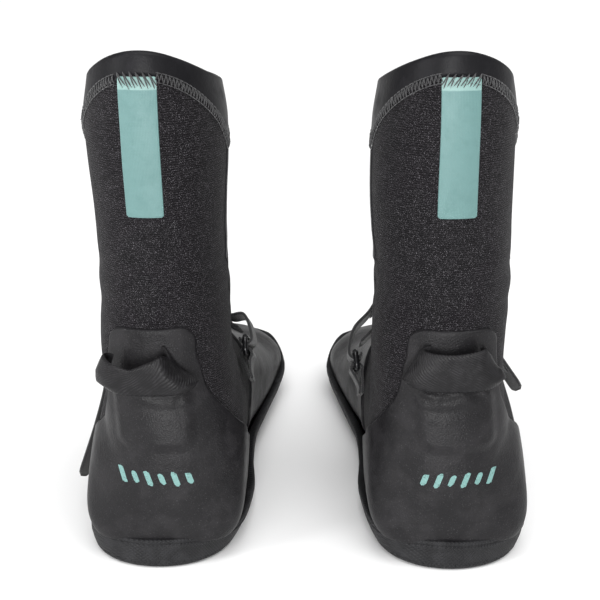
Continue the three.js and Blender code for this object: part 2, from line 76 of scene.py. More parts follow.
STACK = 2 * PILE + 3 * GAP + STRAP

PAIR_SPACING = 158.0
PAIR_SHIFT = (-4.562, 132.971)

# Rings from the toe, round the heel, up to the rim: low and high end as (forward, up), half width, shift to
# the inner side, where the ring is widest, and how boxy its low end is.
RINGS = [
    ((269, 22), (268, 29), 13, 9, 0.5, 2.2),
    ((263, 15), (262, 37), 30, 8, 0.46, 2.5),
    ((251, 10), (249, 42), 40, 7, 0.42, 3),
    ((228, 9), (226, 49), 47, 6, 0.4, 3.4),
    ((196, 9), (198, 59), 47, 2.5, 0.38, 3.6),
    ((160, 9), (165, 75), 44, 0.5, 0.38, 3.6),
    ((122, 9), (138, 91), 40.5, -1, 0.4, 3.4),
    ((80, 9), (120, 104), 40, 0, 0.3, 3.6),
    ((38, 9), (108, 114), 42.5, 0.5, 0.22, 3.4),
    ((3, 10.5), (102, 122), 43, 0.5, 0.22, 3.0),
    ((0, 32), (98, 129), 40, 2, 0.3, 2.5),
    ((0, 56), (95.5, 136), 35, 3.5, 0.4, 2.3),
    ((3, 82), (94, 144), 34.5, 2.5, 0.44, 2.2),
    ((7, 108), (93, 154), 34.8, 1, 0.48, 2.2),
    ((9, 136), (93, 168), 34.5, 0, 0.5, 2.1),
    ((8.5, 170), (94, 188), 34.5, 0, 0.5, 2.1),
    ((6, 206), (95.5, 214), 35, 0, 0.5, 2.1),
    ((4, 234), (96, 236), 35, 0, 0.5, 2.1),
    ((4.5, 258), (95, 256), 32, 0, 0.5, 2.1),
    ((8, 285), (91, 285), 26.5, 0, 0.5, 2.1),
]
TOE_POLE = (-9, -270.5, 26)
SOLE_EDGE = [(-30, 18), (60, 17), (130, 18), (200, 18), (235, 22), (262, 32), (290, 36)]
SOLE_UNDER = [(222, 0), (240, 1.5), (262, 6), (290, 14)]
HEEL_EDGE = [(13, 112), (15, 97), (21, 85), (31, 72), (45, 60), (62, 48), (90, 34), (118, 17)]
FRONT_EDGE = [(147, 120), (139, 88), (126, 66), (112, 45), (122, 19)]
PANEL_SEAM = [(SIDE_SEAM, 300), (SIDE_SEAM, 118), (116, 15), (116, -20)]

RING_STEPS = 250
ROUND_STEPS = 176

# How each boot stands and how its loose parts lie. low_swell and low_shift widen and move the foot near the
# ground, and crest is how far the heel loop's top edge rises at each place across it.
BOOTS = [
    SimpleNamespace(
        side="left", mirror=1, lean=0.003, turn=1.7, back=0, swell=-0.015, bow=0.0, ankle=2.2,
        low_swell=-0.035, low_shift=1.8, splay=3.0, seed=3,
        reach=6, lip=7, sway=7, low=105, tall=18.5, crest=[(-18, -12), (-6.6, 2), (9, -5), (25, 0)],
        bar=(-39.5, 71.0), leave=8, arch=0, hooks=4.5, tail=[(43.8, 48), (45, 38), (49.4, 18), (58, -12)],
    ),
    SimpleNamespace(
        side="right", mirror=-1, lean=-0.04, turn=2, back=2, swell=0.05, bow=-1.2, ankle=-2.2,
        low_swell=-0.025, low_shift=-1.4, splay=-0.5, seed=11,
        reach=4, lip=3, sway=1, low=107, tall=20, crest=[(-22, -8), (-17, 0), (0, -1), (15, 0.5), (22, -9)],
        bar=(-44.5, 63.0), leave=8, arch=9, hooks=0.5, tail=[(41.5, 60), (53, 40)],
    ),
]


# ---- Curves and noise ----

def catmull(points, ts):
    """Centripetal Catmull-Rom curve through points, at each t from 0 to 1."""
    points = np.asarray(points, float)
    padded = np.vstack([2 * points[0] - points[1], points, 2 * points[-1] - points[-2]])
    at = np.clip(np.asarray(ts, float), 0, 1) * (len(points) - 1)
    first = np.minimum(at.astype(int), len(points) - 2)
    w = (at - first)[:, None]
    p0, p1, p2, p3 = (padded[first + k] for k in range(4))
    spans = ((p0, p1), (p1, p2), (p2, p3))
    d0, d1, d2 = (np.linalg.norm(b - a, axis=1)[:, None] ** 0.5 for a, b in spans)
    d1 = np.where(d1 < 1e-4, 1, d1)
    d0, d2 = np.where(d0 < 1e-4, d1, d0), np.where(d2 < 1e-4, d1, d2)
    m1 = ((p1 - p0) / d0 - (p2 - p0) / (d0 + d1) + (p2 - p1) / d1) * d1
    m2 = ((p2 - p1) / d1 - (p3 - p1) / (d1 + d2) + (p3 - p2) / d2) * d1
    return p1 + m1 * w + (3 * (p2 - p1) - 2 * m1 - m2) * w**2 + (2 * (p1 - p2) + m1 + m2) * w**3


def smooth_noise(p, size, seed):
    """Smooth noise from -1 to 1 at each point, with bumps about size wide."""
    q = p / size + seed * 17.3
    cell = np.floor(q).astype(np.int64)
    w = q - cell
    w = w * w * (3 - 2 * w)
    total = np.zeros(p.shape[:-1])
    for corner in np.ndindex(2, 2, 2):
        c = cell + corner
        mixed = (c[..., 0] * 73856093) ^ (c[..., 1] * 19349663) ^ (c[..., 2] * 83492791) ^ (seed * 2654435)
        mixed = (mixed ^ (mixed >> 13)) * 1274126177
        value = (mixed & 0xFFFF) / 32767.5 - 1
        share = np.prod([w[..., k] if corner[k] else 1 - w[..., k] for k in range(3)], axis=0)
        total += value * share
    return total


def distances(line):
    """How far along a line of points each of them lies."""
    return np.r_[0, np.cumsum(np.linalg.norm(np.diff(line, axis=0), axis=1))]


def resample(line, far, at):
    """Points at given distances along a line."""
    return np.stack([np.interp(at, far, line[:, k]) for k in range(line.shape[1])], -1)


def round_over(inside, soft):
    """From 0 at an edge to 1 at soft inside it, as a quarter circle."""
    return np.sqrt(np.clip(1 - (1 - np.clip(inside / soft, 0, 1)) ** 2, 0, 1))


def bell(x, centre, width):
    return np.exp(-(((x - centre) / width) ** 2))


def side_distance(forward, up, line):
    """Distance to a line in side view, positive to the left of the line's direction with forward as x."""
    best = np.full(forward.shape, 1e9)
    side = np.ones(forward.shape)
    for (fa, ua), (fb, ub) in zip(line, line[1:]):
        df, du = fb - fa, ub - ua
        share = np.clip(((forward - fa) * df + (up - ua) * du) / (df * df + du * du), 0, 1)
        gone = np.hypot(forward - fa - share * df, up - ua - share * du)
        nearer = gone < best - 1e-9
        best = np.where(nearer, gone, best)
        side = np.where(nearer, np.sign(df * (up - ua) - du * (forward - fa)), side)
    return best * side


def box_distance(x, up, centre, half, low, high, radius):
    """Distance inside a rounded rectangle seen from behind."""
    dx = np.abs(x - centre) - half + radius
    du = np.abs(up - (low + high) / 2) - (high - low) / 2 + radius
    outside = np.hypot(np.maximum(dx, 0), np.maximum(du, 0))
    return radius - outside - np.minimum(np.maximum(dx, du), 0)


def rim_height(angle):
    share = (1 + np.cos(angle)) / 2
    return RIM_SIDE + (RIM_BACK - RIM_SIDE) * share**2.4 + (RIM_FRONT - RIM_SIDE) * (1 - share) ** 3


def seam_height(angle):
    apex = np.where(angle < np.pi / 2, SEAM_BACK, SEAM_FRONT)
    share = np.minimum(angle, np.pi - angle) / (np.pi / 2)
    return SEAM_SIDE + (apex - SEAM_SIDE) * (1 - share**2)


def over_line(forward, up, height):
    """Distance above a line round the shaft."""
    angles = np.linspace(0, np.pi, 60)
    along = SIDE_SEAM - 47 * np.cos(angles)
    heights = height(angles)
    slope = np.interp(forward, along, np.gradient(heights, along))
    return (up - np.interp(forward, along, heights)) / np.sqrt(1 + np.minimum(slope**2, 2))


# ---- The skin ----

def make_skin(boot):
    """The boot's surface as a fine grid with its folds, and what the pieces need to know of each point."""
    ts = np.linspace(0, 1, RING_STEPS + 1)
    low = catmull([(0, *ring[0]) for ring in RINGS], ts)[:, 1:]
    high = catmull([(0, *ring[1]) for ring in RINGS], ts)[:, 1:]
    half, inward = catmull([(ring[2], ring[3], 0) for ring in RINGS], ts).T[:2]
    belly, square = catmull([(ring[4], ring[5], 0) for ring in RINGS], ts).T[:2]
    angle = np.linspace(-np.pi, np.pi, ROUND_STEPS + 1)
    cos, sin = np.cos(angle)[None], np.sin(angle)[None]
    power = 2 / np.where(cos > 0, square[:, None], 2.1)
    across = np.sign(sin) * np.abs(sin) ** power
    along = np.sign(cos) * np.abs(cos) ** power
    share = belly[:, None] - along * np.where(along > 0, belly[:, None], 1 - belly[:, None])
    forward = low[:, :1] + share * (high - low)[:, :1]
    up = low[:, 1:] + share * (high - low)[:, 1:]
    p = np.stack([half[:, None] * across - inward[:, None], -forward, up], axis=-1)

    def outward(points):
        wrapped = np.concatenate([points[:, -2:-1], points, points[:, 1:2]], axis=1)
        around = wrapped[:, 2:] - wrapped[:, :-2]
        n = np.cross(np.gradient(points, axis=0), around)
        return n / np.maximum(np.linalg.norm(n, axis=-1, keepdims=True), 1e-9)

    n = outward(p)
    plain = p.copy()
    p = p + n * folds(p, boot.seed)[..., None]
    steps = np.linalg.norm(np.diff(p, axis=1), axis=-1)
    u = np.concatenate([np.zeros((len(p), 1)), np.cumsum(steps, axis=1)], axis=1)
    u -= u[:, ROUND_STEPS // 2][:, None]
    between_rings = np.linalg.norm(np.diff(p, axis=0), axis=-1).mean(axis=1)
    v = np.broadcast_to(np.cumsum(np.r_[0, between_rings])[:, None], u.shape)
    x, forward, up = plain[..., 0], -plain[..., 1], plain[..., 2]
    return SimpleNamespace(p=p, n=outward(p), u=u, v=v, x=x, forward=forward, up=up, boot=boot)


def folds(p, seed):
    """How far each point lies in or out: a loose shaft, folds at the ankle, a crease at the ball."""
    forward, up = -p[..., 1], p[..., 2]
    loose = 1 / (1 + np.exp(-(up - 130) / 14))
    give = smooth_noise(p, 55, seed) * (0.35 + 0.9 * loose)
    give += smooth_noise(p, 20, seed + 1) * (0.12 + 0.22 * loose)
    front = np.clip((forward - 40) / 45, 0, 1)
    wander = smooth_noise(p, 30, seed + 2) * 5
    give += 1.1 * front * bell(up, 146, 22) * np.sin((up - 0.35 * forward + wander) * 2 * np.pi / 17)
    give += 0.45 * (1 - front) * bell(up, 150, 16) * np.sin((up + wander) * 2 * np.pi / 21)
    dent = bell(forward, 205, 22) * bell(up, 58, 14) * np.clip(-p[..., 0] / 20, 0, 1)
    give -= 2.2 * dent
    give += 0.5 * bell(forward, 185, 12) * np.clip((up - 40) / 20, 0, 1)
    return give * np.clip((up - 8) / 12, 0, 1)


def skin_point(skin, row, column, depth):
    """Points on the skin at fractional grid places."""
    row, column = np.asarray(row, float), np.asarray(column, float)
    r = np.clip(row.astype(int), 0, RING_STEPS - 1)
    c = np.clip(column.astype(int), 0, ROUND_STEPS - 1)
    a, b = (row - r)[..., None], (column - c)[..., None]

    def blend(grid):
        near = grid[r, c] * (1 - b) + grid[r, c + 1] * b
        far = grid[r + 1, c] * (1 - b) + grid[r + 1, c + 1] * b
        return near * (1 - a) + far * a

    n = blend(skin.n)
    return blend(skin.p) + n * np.asarray(depth)[..., None], n


def shaft_row(skin, column, height):
    """The fractional ring at which a lengthwise line of the skin reaches a height on the shaft or heel."""
    line = skin.up[:, int(column)]
    start = int(np.argmin(np.where(np.arange(len(line)) > 90, line, 1e9)))
    return start + float(np.interp(height, line[start:], np.arange(len(line) - start)))


def back_point(skin, x, up, depth):
    """Points on the back of the boot, given as seen from behind."""
    columns = np.arange(ROUND_STEPS // 4, 3 * ROUND_STEPS // 4 + 1)[::4]
    rings = np.arange(RING_STEPS + 1)
    out = []
    for xi, zi, di in zip(x, up, np.broadcast_to(depth, np.shape(x))):
        rows = np.array([shaft_row(skin, c, zi) for c in columns])
        xs = np.array([np.interp(r, rings, skin.x[:, c]) for r, c in zip(rows, columns)])
        column = np.interp(xi, xs, columns)
        out.append(skin_point(skin, np.interp(column, columns, rows), column, di))
    return np.array([o[0] for o in out]), np.array([o[1] for o in out])


# ---- Meshes ----

def stand(points, boot):
    """From a boot's own millimetres to its place in the pair, in metres."""
    up = points[..., 2]
    full, low = bell(up, 185, 50), bell(up, 22, 38)
    x = points[..., 0] * (1 + boot.swell * full + boot.low_swell * low) + boot.lean * up
    x = boot.mirror * (x + boot.bow * full + boot.ankle * bell(up, 112, 26) + boot.low_shift * low)
    y = points[..., 1]
    turn = -boot.mirror * math.radians(boot.turn)
    aside = x * math.cos(turn) - y * math.sin(turn) + boot.mirror * PAIR_SPACING / 2 + PAIR_SHIFT[0]
    back = x * math.sin(turn) + y * math.cos(turn) + boot.back + PAIR_SHIFT[1]
    return np.stack([aside, back, up], axis=-1) / 1000


def add_object(name, data):
    made = bpy.data.objects.new(name, data)
    bpy.context.collection.objects.link(made)
    return made


def make_object(name, boot, points, faces, uv, material):
    """A smooth mesh. Points that coincide are joined, but keep their own places on the cloth."""
    points, faces, uv = np.asarray(points, float), np.asarray(faces, int), np.asarray(uv, float)
    _, first, joined = np.unique(np.round(points, 3), axis=0, return_index=True, return_inverse=True)
    joined = joined.reshape(-1)
    corners = joined[faces]
    sound = np.ones(len(faces), bool)
    for a in range(faces.shape[1]):
        sound &= corners[:, a] != corners[:, (a + 1) % faces.shape[1]]
    faces, corners = faces[sound], corners[sound]
    if boot.mirror < 0:
        faces, corners = faces[:, ::-1], corners[:, ::-1]
    mesh = bpy.data.meshes.new(name)
    mesh.from_pydata(stand(points[first], boot).tolist(), [], corners.tolist())
    layer = mesh.uv_layers.new(name="cloth")
    layer.data.foreach_set("uv", (uv[faces.reshape(-1)] / 1000).astype(np.float32).reshape(-1))
    mesh.shade_smooth()
    mesh.materials.append(material)
    mesh.validate()
    return add_object(name, mesh)


def grid_faces(rows, columns, closed=False):
    """Quads over a grid of points, row by row. closed joins the last column to the first."""
    r, c = np.meshgrid(np.arange(rows - 1), np.arange(columns if closed else columns - 1), indexing="ij")
    here, next_row = r * columns, (r + 1) * columns
    d = (c + 1) % columns
    return np.stack([here + c, here + d, next_row + d, next_row + c], -1).reshape(-1, 4)


def slice_faces(faces, data, value, level, keep_rest):
    """Cuts triangles where a value passes a level. Only the part above stays, unless keep_rest."""
    over = value[faces] >= level
    count = over.sum(axis=1)
    kept = [faces[count == 3]] + ([faces[count == 0]] if keep_rest else [])
    start = len(data)
    pairs, pieces = [], []
    for lone_over, picked in ((True, faces[count == 1]), (False, faces[count == 2])):
        lone = np.argmax((value[picked] >= level) == lone_over, axis=1)
        turned = picked[np.arange(len(picked))[:, None], (lone[:, None] + np.arange(3)) % 3]
        pairs += [turned[:, [0, 1]], turned[:, [0, 2]]]
        pieces.append(turned)
    both = np.concatenate(pairs) if len(pairs) else np.zeros((0, 2), int)
    if not len(both):
        return np.concatenate(kept), data
    unique, index = np.unique(np.sort(both, axis=1), axis=0, return_inverse=True)
    index = index.reshape(-1) + start
    va, vb = value[unique[:, 0]], value[unique[:, 1]]
    w = ((level - va) / np.where(vb == va, 1, vb - va))[:, None]
    data = np.vstack([data, data[unique[:, 0]] * (1 - w) + data[unique[:, 1]] * w])
    at = 0
    for lone_over, turned in zip((True, False), pieces):
        ab, ac = index[at : at + len(turned)], index[at + len(turned) : at + 2 * len(turned)]
        at += 2 * len(turned)
        tip = np.stack([turned[:, 0], ab, ac], -1)
        rest = [np.stack([ab, turned[:, 1], turned[:, 2]], -1), np.stack([ab, turned[:, 2], ac], -1)]
        if lone_over or keep_rest:
            kept.append(tip)
        if not lone_over or keep_rest:
            kept += rest
    return np.concatenate(kept), data


def lay(name, skin, fields, outer, material, inner=None, soft=1.2):
    """A piece cut from the skin where every field is positive. outer and inner give its depth from the
    distance to its edge. Extra loops near the edge, up to soft, keep its rounded lip smooth."""
    flat = [np.asarray(a, float).reshape(-1, 1) for a in (skin.u, skin.v, *fields)]
    data = np.hstack([skin.p.reshape(-1, 3), skin.n.reshape(-1, 3)] + flat)
    quads = grid_faces(RING_STEPS + 1, ROUND_STEPS + 1)
    near = np.ones(len(quads), bool)
    for k in range(len(fields)):
        near &= (data[quads, 8 + k] > -1e-9).any(axis=1)
    quads = quads[near]
    faces = np.concatenate([quads[:, [0, 1, 2]], quads[:, [0, 2, 3]]])
    for k in range(len(fields)):
        faces, data = slice_faces(faces, data, data[:, 8 + k], 0.0, False)
    for k in range(len(fields)):
        for share in (0.12, 0.4, 0.75, 1.0):
            faces, data = slice_faces(faces, data, data[:, 8 + k], share * soft, True)
    used, faces = np.unique(faces, return_inverse=True)
    faces = faces.reshape(-1, 3)
    data = data[used]
    edge = data[:, 8:].min(axis=1)
    depth = lambda rule: np.broadcast_to(rule(edge, data) if callable(rule) else rule, edge.shape)[:, None]
    points = data[:, :3] + data[:, 3:6] * depth(outer)
    uv = data[:, 6:8]
    if inner is not None:
        count = len(points)
        sides = np.concatenate([faces[:, [0, 1]], faces[:, [1, 2]], faces[:, [2, 0]]])
        _, first, times = np.unique(np.sort(sides, axis=1), axis=0, return_index=True, return_counts=True)
        rim = sides[first[times == 1]]
        points = np.vstack([points, data[:, :3] + data[:, 3:6] * depth(inner)])
        uv = np.vstack([uv, uv])
        a, b = rim.T
        walls = [np.stack([b, a, a + count], -1), np.stack([b, a + count, b + count], -1)]
        faces = np.concatenate([faces, faces[:, ::-1] + count, *walls])
    return make_object(name, skin.boot, points, faces, uv, material)


def lip(low, thick, soft):
    """A depth that rises from low to low + thick over a rounded edge."""
    return lambda edge, data: low + thick * round_over(edge, soft)


# The corners of a rectangle: which side each is on, across and up, and the angle at which its arc starts.
CORNERS = ((1, 1, 0), (-1, 1, 90), (-1, -1, 180), (1, -1, 270))


def arc(x, y, radius, degrees):
    turns = [math.radians(d) for d in degrees]
    return [(x + radius * math.cos(a), y + radius * math.sin(a)) for a in turns]


def ribbon(name, boot, centre, normal, side, width, thick, material, round_end=0.0):
    """A flat band along a line of points, with rounded edges. round_end rounds its last end's corners."""
    length = distances(centre)
    left = length[-1] - length
    narrow = np.ones(len(centre))
    if round_end:
        near = np.clip(1 - left / round_end, 0, 1)
        narrow = 1 - (round_end / (width / 2)) * (1 - np.sqrt(1 - near**2))
    corner = 0.45 * thick
    wide, high = width / 2 - corner, thick / 2 - corner
    section = []
    for sx, sy, start in CORNERS:
        section += arc(sx * wide, sy * high, corner, range(start, start + 91, 30))
        if sx == sy:
            section += [(s * sx * wide, sy * thick / 2) for s in (0.6, 0.2, -0.2, -0.6)]
    section = np.array(section)
    rows = [
        c + s * section[:, :1] * k + n * section[:, 1:] * (0.25 + 0.75 * min(1.0, g / 0.6))
        for c, s, n, k, g in zip(centre, side, normal, narrow, np.maximum(np.minimum(length, left), 0))
    ]
    points = np.concatenate(rows)
    count = len(section)
    uv = np.stack([np.tile(section[:, 0], len(centre)), np.repeat(length, count)], -1)
    faces = grid_faces(len(centre), count, closed=True)
    caps = []
    for row, flip in ((0, True), (len(centre) - 1, False)):
        for k in range(count // 2 - 1):
            quad = [row * count + i for i in (k, k + 1, count - 2 - k, count - 1 - k)]
            caps.append(quad[::-1] if flip else quad)
    faces = np.concatenate([faces[:, ::-1], np.array(caps)])
    return make_object(name, boot, points, faces, uv, material)


def tube_rows(line, radius, sides=6):
    """Points and faces of a thin tube along a line, closed to a point at both ends."""
    line = np.asarray(line, float)
    along = np.gradient(line, axis=0)
    along /= np.maximum(np.linalg.norm(along, axis=1, keepdims=True), 1e-9)
    helper = np.where(np.abs(along[:, 2:]) > 0.9, [[1.0, 0, 0]], [[0, 0, 1.0]])
    a = np.cross(along, helper)
    a /= np.linalg.norm(a, axis=1, keepdims=True)
    b = np.cross(along, a)
    turn = 2 * np.pi * np.arange(sides) / sides
    swell = np.full(len(line), radius)
    swell[[0, -1]] = radius * 0.3
    cos, sin = np.cos(turn)[None, :, None], np.sin(turn)[None, :, None]
    points = line[:, None] + swell[:, None, None] * (a[:, None] * cos + b[:, None] * sin)
    return points.reshape(-1, 3), grid_faces(len(line), sides, closed=True)


def threads(name, boot, lines, radius, material, sides=6):
    """Many short threads as one object."""
    points, faces, at = [], [], 0
    for line in lines:
        p, f = tube_rows(line, radius, sides)
        points.append(p)
        faces.append(f + at)
        at += len(p)
    points = np.concatenate(points)
    return make_object(name, boot, points, np.concatenate(faces), points[:, [0, 2]], material)


# ---- Materials ----

class Graph:
    """A small way to write a material's nodes."""

    def __init__(self, name, color, roughness):
        self.material = bpy.data.materials.new(name)
        self.material.use_nodes = True
        self.tree = self.material.node_tree
        self.shader = self.tree.nodes["Principled BSDF"]
        self.set("Base Color", (*color, 1))
        self.set("Roughness", roughness)
        self.coords = self.tree.nodes.new("ShaderNodeTexCoord")
        self.height = None

    def set(self, socket, value):
        target = self.shader.inputs[socket]
        if hasattr(value, "node"):
            self.tree.links.new(value, target)
        else:
            target.default_value = value

    def add(self, kind, output=0, settings=(), **inputs):
        node = self.tree.nodes.new(kind)
        for key, value in dict(settings).items():
            setattr(node, key, value)
        for key, value in inputs.items():
            key = key.replace("_", " ")
            socket = node.inputs[int(key[1:])] if key[0] == "i" and key[1:].isdigit() else node.inputs[key]
            if hasattr(value, "node"):
                self.tree.links.new(value, socket)
            else:
                socket.default_value = value
        return node.outputs[output]

    @property
    def place(self):
        return self.coords.outputs["Object"]

    @property
    def cloth(self):
        return self.coords.outputs["UV"]

    def axis(self, vector, k):
        return self.add("ShaderNodeSeparateXYZ", k, Vector=vector)

    def math(self, operation, a, b=0.0, c=0.0):
        return self.add("ShaderNodeMath", 0, {"operation": operation}, i0=a, i1=b, i2=c)

    def noise(self, size, detail=3.0, rough=0.55):
        inputs = {"Vector": self.place, "Scale": 1000 / size, "Detail": detail, "Roughness": rough}
        return self.add("ShaderNodeTexNoise", **inputs)

    def cells(self, size, feature="F1"):
        return self.add("ShaderNodeTexVoronoi", 0, {"feature": feature}, Vector=self.place, Scale=1000 / size)

    def ramp(self, value, low, high, out_low=0.0, out_high=1.0):
        return self.add(
            "ShaderNodeMapRange", 0, {"interpolation_type": "SMOOTHSTEP"},
            i0=value, i1=low, i2=high, i3=out_low, i4=out_high,
        )

    def wave(self, value, pitch, shift=0.0):
        """From 0 to 1 and back once every pitch millimetres."""
        turned = self.math("MULTIPLY_ADD", value, 2 * math.pi * 1000 / pitch, shift)
        return self.math("MULTIPLY_ADD", self.math("SINE", turned), 0.5, 0.5)

    def mix(self, factor, a, b):
        colour = lambda v: (*v, 1) if isinstance(v, tuple) and len(v) == 3 else v
        return self.add("ShaderNodeMix", 2, {"data_type": "RGBA"}, i0=factor, i6=colour(a), i7=colour(b))

    def bump(self, height, distance):
        """Bumps distance millimetres high, on top of those added before."""
        inputs = {"Height": height, "Distance": distance / 1000, "Strength": 1.0}
        if self.height is not None:
            inputs["Normal"] = self.height
        self.height = self.add("ShaderNodeBump", 0, **inputs)
        self.set("Normal", self.height)


def knit_material():
    """Black jersey: fine ribs across the leg, a stitch along each rib, and bright specks of fibre."""
    g = Graph("knit", (0.011, 0.0105, 0.0115), 0.86)
    up = g.axis(g.place, 2)
    wander = g.math("MULTIPLY", g.noise(14, 2.0), 0.0007)
    rib = g.wave(g.math("ADD", up, wander), 1.15)
    around = g.axis(g.cloth, 0)
    row = g.math("FLOOR", g.math("MULTIPLY", up, 1000 / 1.15))
    stitch = g.wave(around, 0.95, g.math("MULTIPLY", row, 2.1))
    grain = g.noise(0.55, 2.0)
    height = g.math("ADD", g.math("MULTIPLY", rib, 0.75), g.math("MULTIPLY", stitch, 0.3))
    g.bump(g.noise(26, 3.0), 0.9)
    g.bump(height, 0.22)
    g.bump(grain, 0.12)
    fleck = g.ramp(g.noise(0.36, 1.0, rough=0.3), 0.62, 0.72)
    patchy = g.ramp(g.noise(9, 3.0), 0.2, 0.8, 0.5, 1.0)
    # Painted shade: the colour is darker in the rib grooves, following the rib height, and it also varies in
    # random worn patches.
    wear_and_rib_shade = g.mix(g.math("MULTIPLY", rib, patchy), (0.002, 0.0018, 0.0024), (0.0125, 0.011, 0.0127))
    g.set("Base Color", g.mix(g.math("MULTIPLY", fleck, 0.75), wear_and_rib_shade, (0.16, 0.152, 0.165)))
    g.set("Roughness", g.ramp(patchy, 0.0, 1.0, 0.93, 0.76))
    g.set("Sheen Weight", 0.04)
    g.set("Sheen Roughness", 0.45)
    g.set("Specular IOR Level", 0.12)
    return g.material


def smooth_material():
    """Smooth-skin neoprene: satin, slightly orange-peeled, with soft scuffs."""
    g = Graph("smooth_skin", (0.028, 0.028, 0.031), 0.5)
    g.bump(g.noise(30, 3.0), 0.8)
    g.bump(g.noise(2.6, 4.0), 0.12)
    g.bump(g.cells(0.9), 0.035)
    scuff = g.ramp(g.noise(11, 5.0), 0.45, 0.75)
    g.set("Base Color", g.mix(scuff, (0.0065, 0.0063, 0.0075), (0.012, 0.0115, 0.0135)))
    g.set("Roughness", g.ramp(scuff, 0.0, 1.0, 0.46, 0.6))
    g.set("Specular IOR Level", 0.15)
    return g.material


def shell_material():
    """Moulded rubber: pebbled, satin, with paler rubbed patches."""
    g = Graph("shell_rubber", (0.03, 0.029, 0.031), 0.42)
    g.bump(g.noise(24, 3.0), 1.0)
    g.bump(g.noise(5.5, 2.0), 0.12)
    g.bump(g.cells(0.8, "SMOOTH_F1"), 0.15)
    g.bump(g.noise(0.6, 2.0), 0.09)
    rubbed = g.ramp(g.noise(16, 5.0, rough=0.65), 0.42, 0.72)
    speck = g.ramp(g.noise(0.5, 1.0, rough=0.3), 0.66, 0.76)
    tone = g.mix(rubbed, (0.0085, 0.008, 0.009), (0.018, 0.017, 0.0185))
    g.set("Base Color", g.mix(g.math("MULTIPLY", speck, 0.4), tone, (0.09, 0.088, 0.092)))
    g.set("Roughness", g.ramp(rubbed, 0.0, 1.0, 0.44, 0.56))
    g.set("Specular IOR Level", 0.2)
    return g.material


def sole_material():
    """Matt rubber with a fine crossed texture cast into it."""
    g = Graph("sole_rubber", (0.026, 0.026, 0.028), 0.62)
    x, y, z = (g.axis(g.place, k) for k in range(3))
    flat = g.math("ADD", x, y)
    one = g.wave(g.math("ADD", flat, z), 2.2)
    other = g.wave(g.math("SUBTRACT", flat, z), 2.2)
    under = g.ramp(z, 0.0025, 0.0045, 1.0, 0.0)
    herring = g.math("PINGPONG", g.math("MULTIPLY", x, 1.0), 0.008)
    sipe = g.ramp(g.wave(g.math("ADD", y, herring), 5.5), 0.25, 0.45)
    g.bump(g.math("MULTIPLY", sipe, under), 1.2)
    g.bump(g.math("MAXIMUM", one, other), 0.4)
    g.bump(g.noise(1.2, 4.0), 0.12)
    dusty = g.ramp(g.noise(8, 5.0), 0.4, 0.75)
    g.set("Base Color", g.mix(dusty, (0.012, 0.012, 0.0132), (0.027, 0.027, 0.029)))
    g.set("Specular IOR Level", 0.2)
    g.set("Roughness", g.ramp(dusty, 0.0, 1.0, 0.5, 0.7))
    return g.material


def stripe_material():
    """Mint tape: satin, finely woven, with faint marks."""
    g = Graph("mint_tape", (0.25, 0.49, 0.455), 0.5)
    up, around = g.axis(g.place, 2), g.axis(g.cloth, 0)
    weave = g.math("MULTIPLY", g.wave(up, 0.7), g.wave(around, 0.7))
    g.bump(g.noise(9, 3.0), 0.25)
    g.bump(weave, 0.06)
    marks = g.ramp(g.noise(6, 5.0), 0.4, 0.8)
    band = g.ramp(up, 0.2545, 0.2552)
    tape = g.mix(marks, (0.096, 0.198, 0.192), (0.085, 0.18, 0.174))
    g.set("Base Color", g.mix(band, tape, (0.2, 0.33, 0.31)))
    g.set("Roughness", g.ramp(marks, 0.0, 1.0, 0.46, 0.62))
    g.set("Sheen Weight", 0.1)
    return g.material


def mark_material():
    """Printed mint ink, partly rubbed off."""
    g = Graph("mint_print", (0.24, 0.47, 0.43), 0.45)
    wear = g.ramp(g.noise(1.1, 4.0), 0.52, 0.72)
    g.set("Base Color", g.mix(wear, (0.14, 0.28, 0.264), (0.06, 0.12, 0.112)))
    g.set("Roughness", g.ramp(wear, 0.0, 1.0, 0.42, 0.6))
    g.bump(g.cells(0.8, "SMOOTH_F1"), 0.08)
    return g.material


def webbing_material():
    """Black webbing: slanting ribs crossed by a finer weft."""
    g = Graph("webbing", (0.012, 0.012, 0.013), 0.8)
    across, along = g.axis(g.cloth, 0), g.axis(g.cloth, 1)
    slant = g.wave(g.math("ADD", along, g.math("MULTIPLY", across, 0.8)), 1.3)
    weft = g.wave(across, 0.8)
    fuzz = g.noise(0.5, 3.0)
    g.bump(g.math("ADD", g.math("MULTIPLY", slant, 0.8), g.math("MULTIPLY", weft, 0.25)), 0.3)
    g.bump(fuzz, 0.15)
    lit = g.ramp(fuzz, 0.5, 0.75)
    g.set("Base Color", g.mix(g.math("MULTIPLY", lit, slant), (0.008, 0.008, 0.009), (0.036, 0.035, 0.037)))
    g.set("Roughness", g.ramp(fuzz, 0.3, 0.8, 0.7, 0.9))
    g.set("Sheen Weight", 0.3)
    return g.material


def loop_material():
    """Rubberised tape: slanting ribs under a satin coat."""
    g = Graph("loop_tape_rubber", (0.024, 0.0235, 0.025), 0.5)
    across, along = g.axis(g.cloth, 0), g.axis(g.cloth, 1)
    ribs = g.wave(g.math("ADD", along, g.math("MULTIPLY", across, 0.9)), 1.25)
    g.bump(g.noise(12, 3.0), 0.7)
    g.bump(ribs, 0.11)
    g.bump(g.noise(0.8, 4.0), 0.1)
    rubbed = g.ramp(g.noise(5, 5.0), 0.4, 0.75)
    # Painted shade: the colour is darker in the rib grooves, following the rib height, and it also varies
    # with the rubbed patches.
    tone = g.mix(g.math("MULTIPLY", ribs, rubbed), (0.006, 0.0056, 0.0064), (0.022, 0.021, 0.023))
    g.set("Base Color", tone)
    g.set("Specular IOR Level", 0.22)
    g.set("Roughness", g.ramp(rubbed, 0.0, 1.0, 0.42, 0.62))
    return g.material


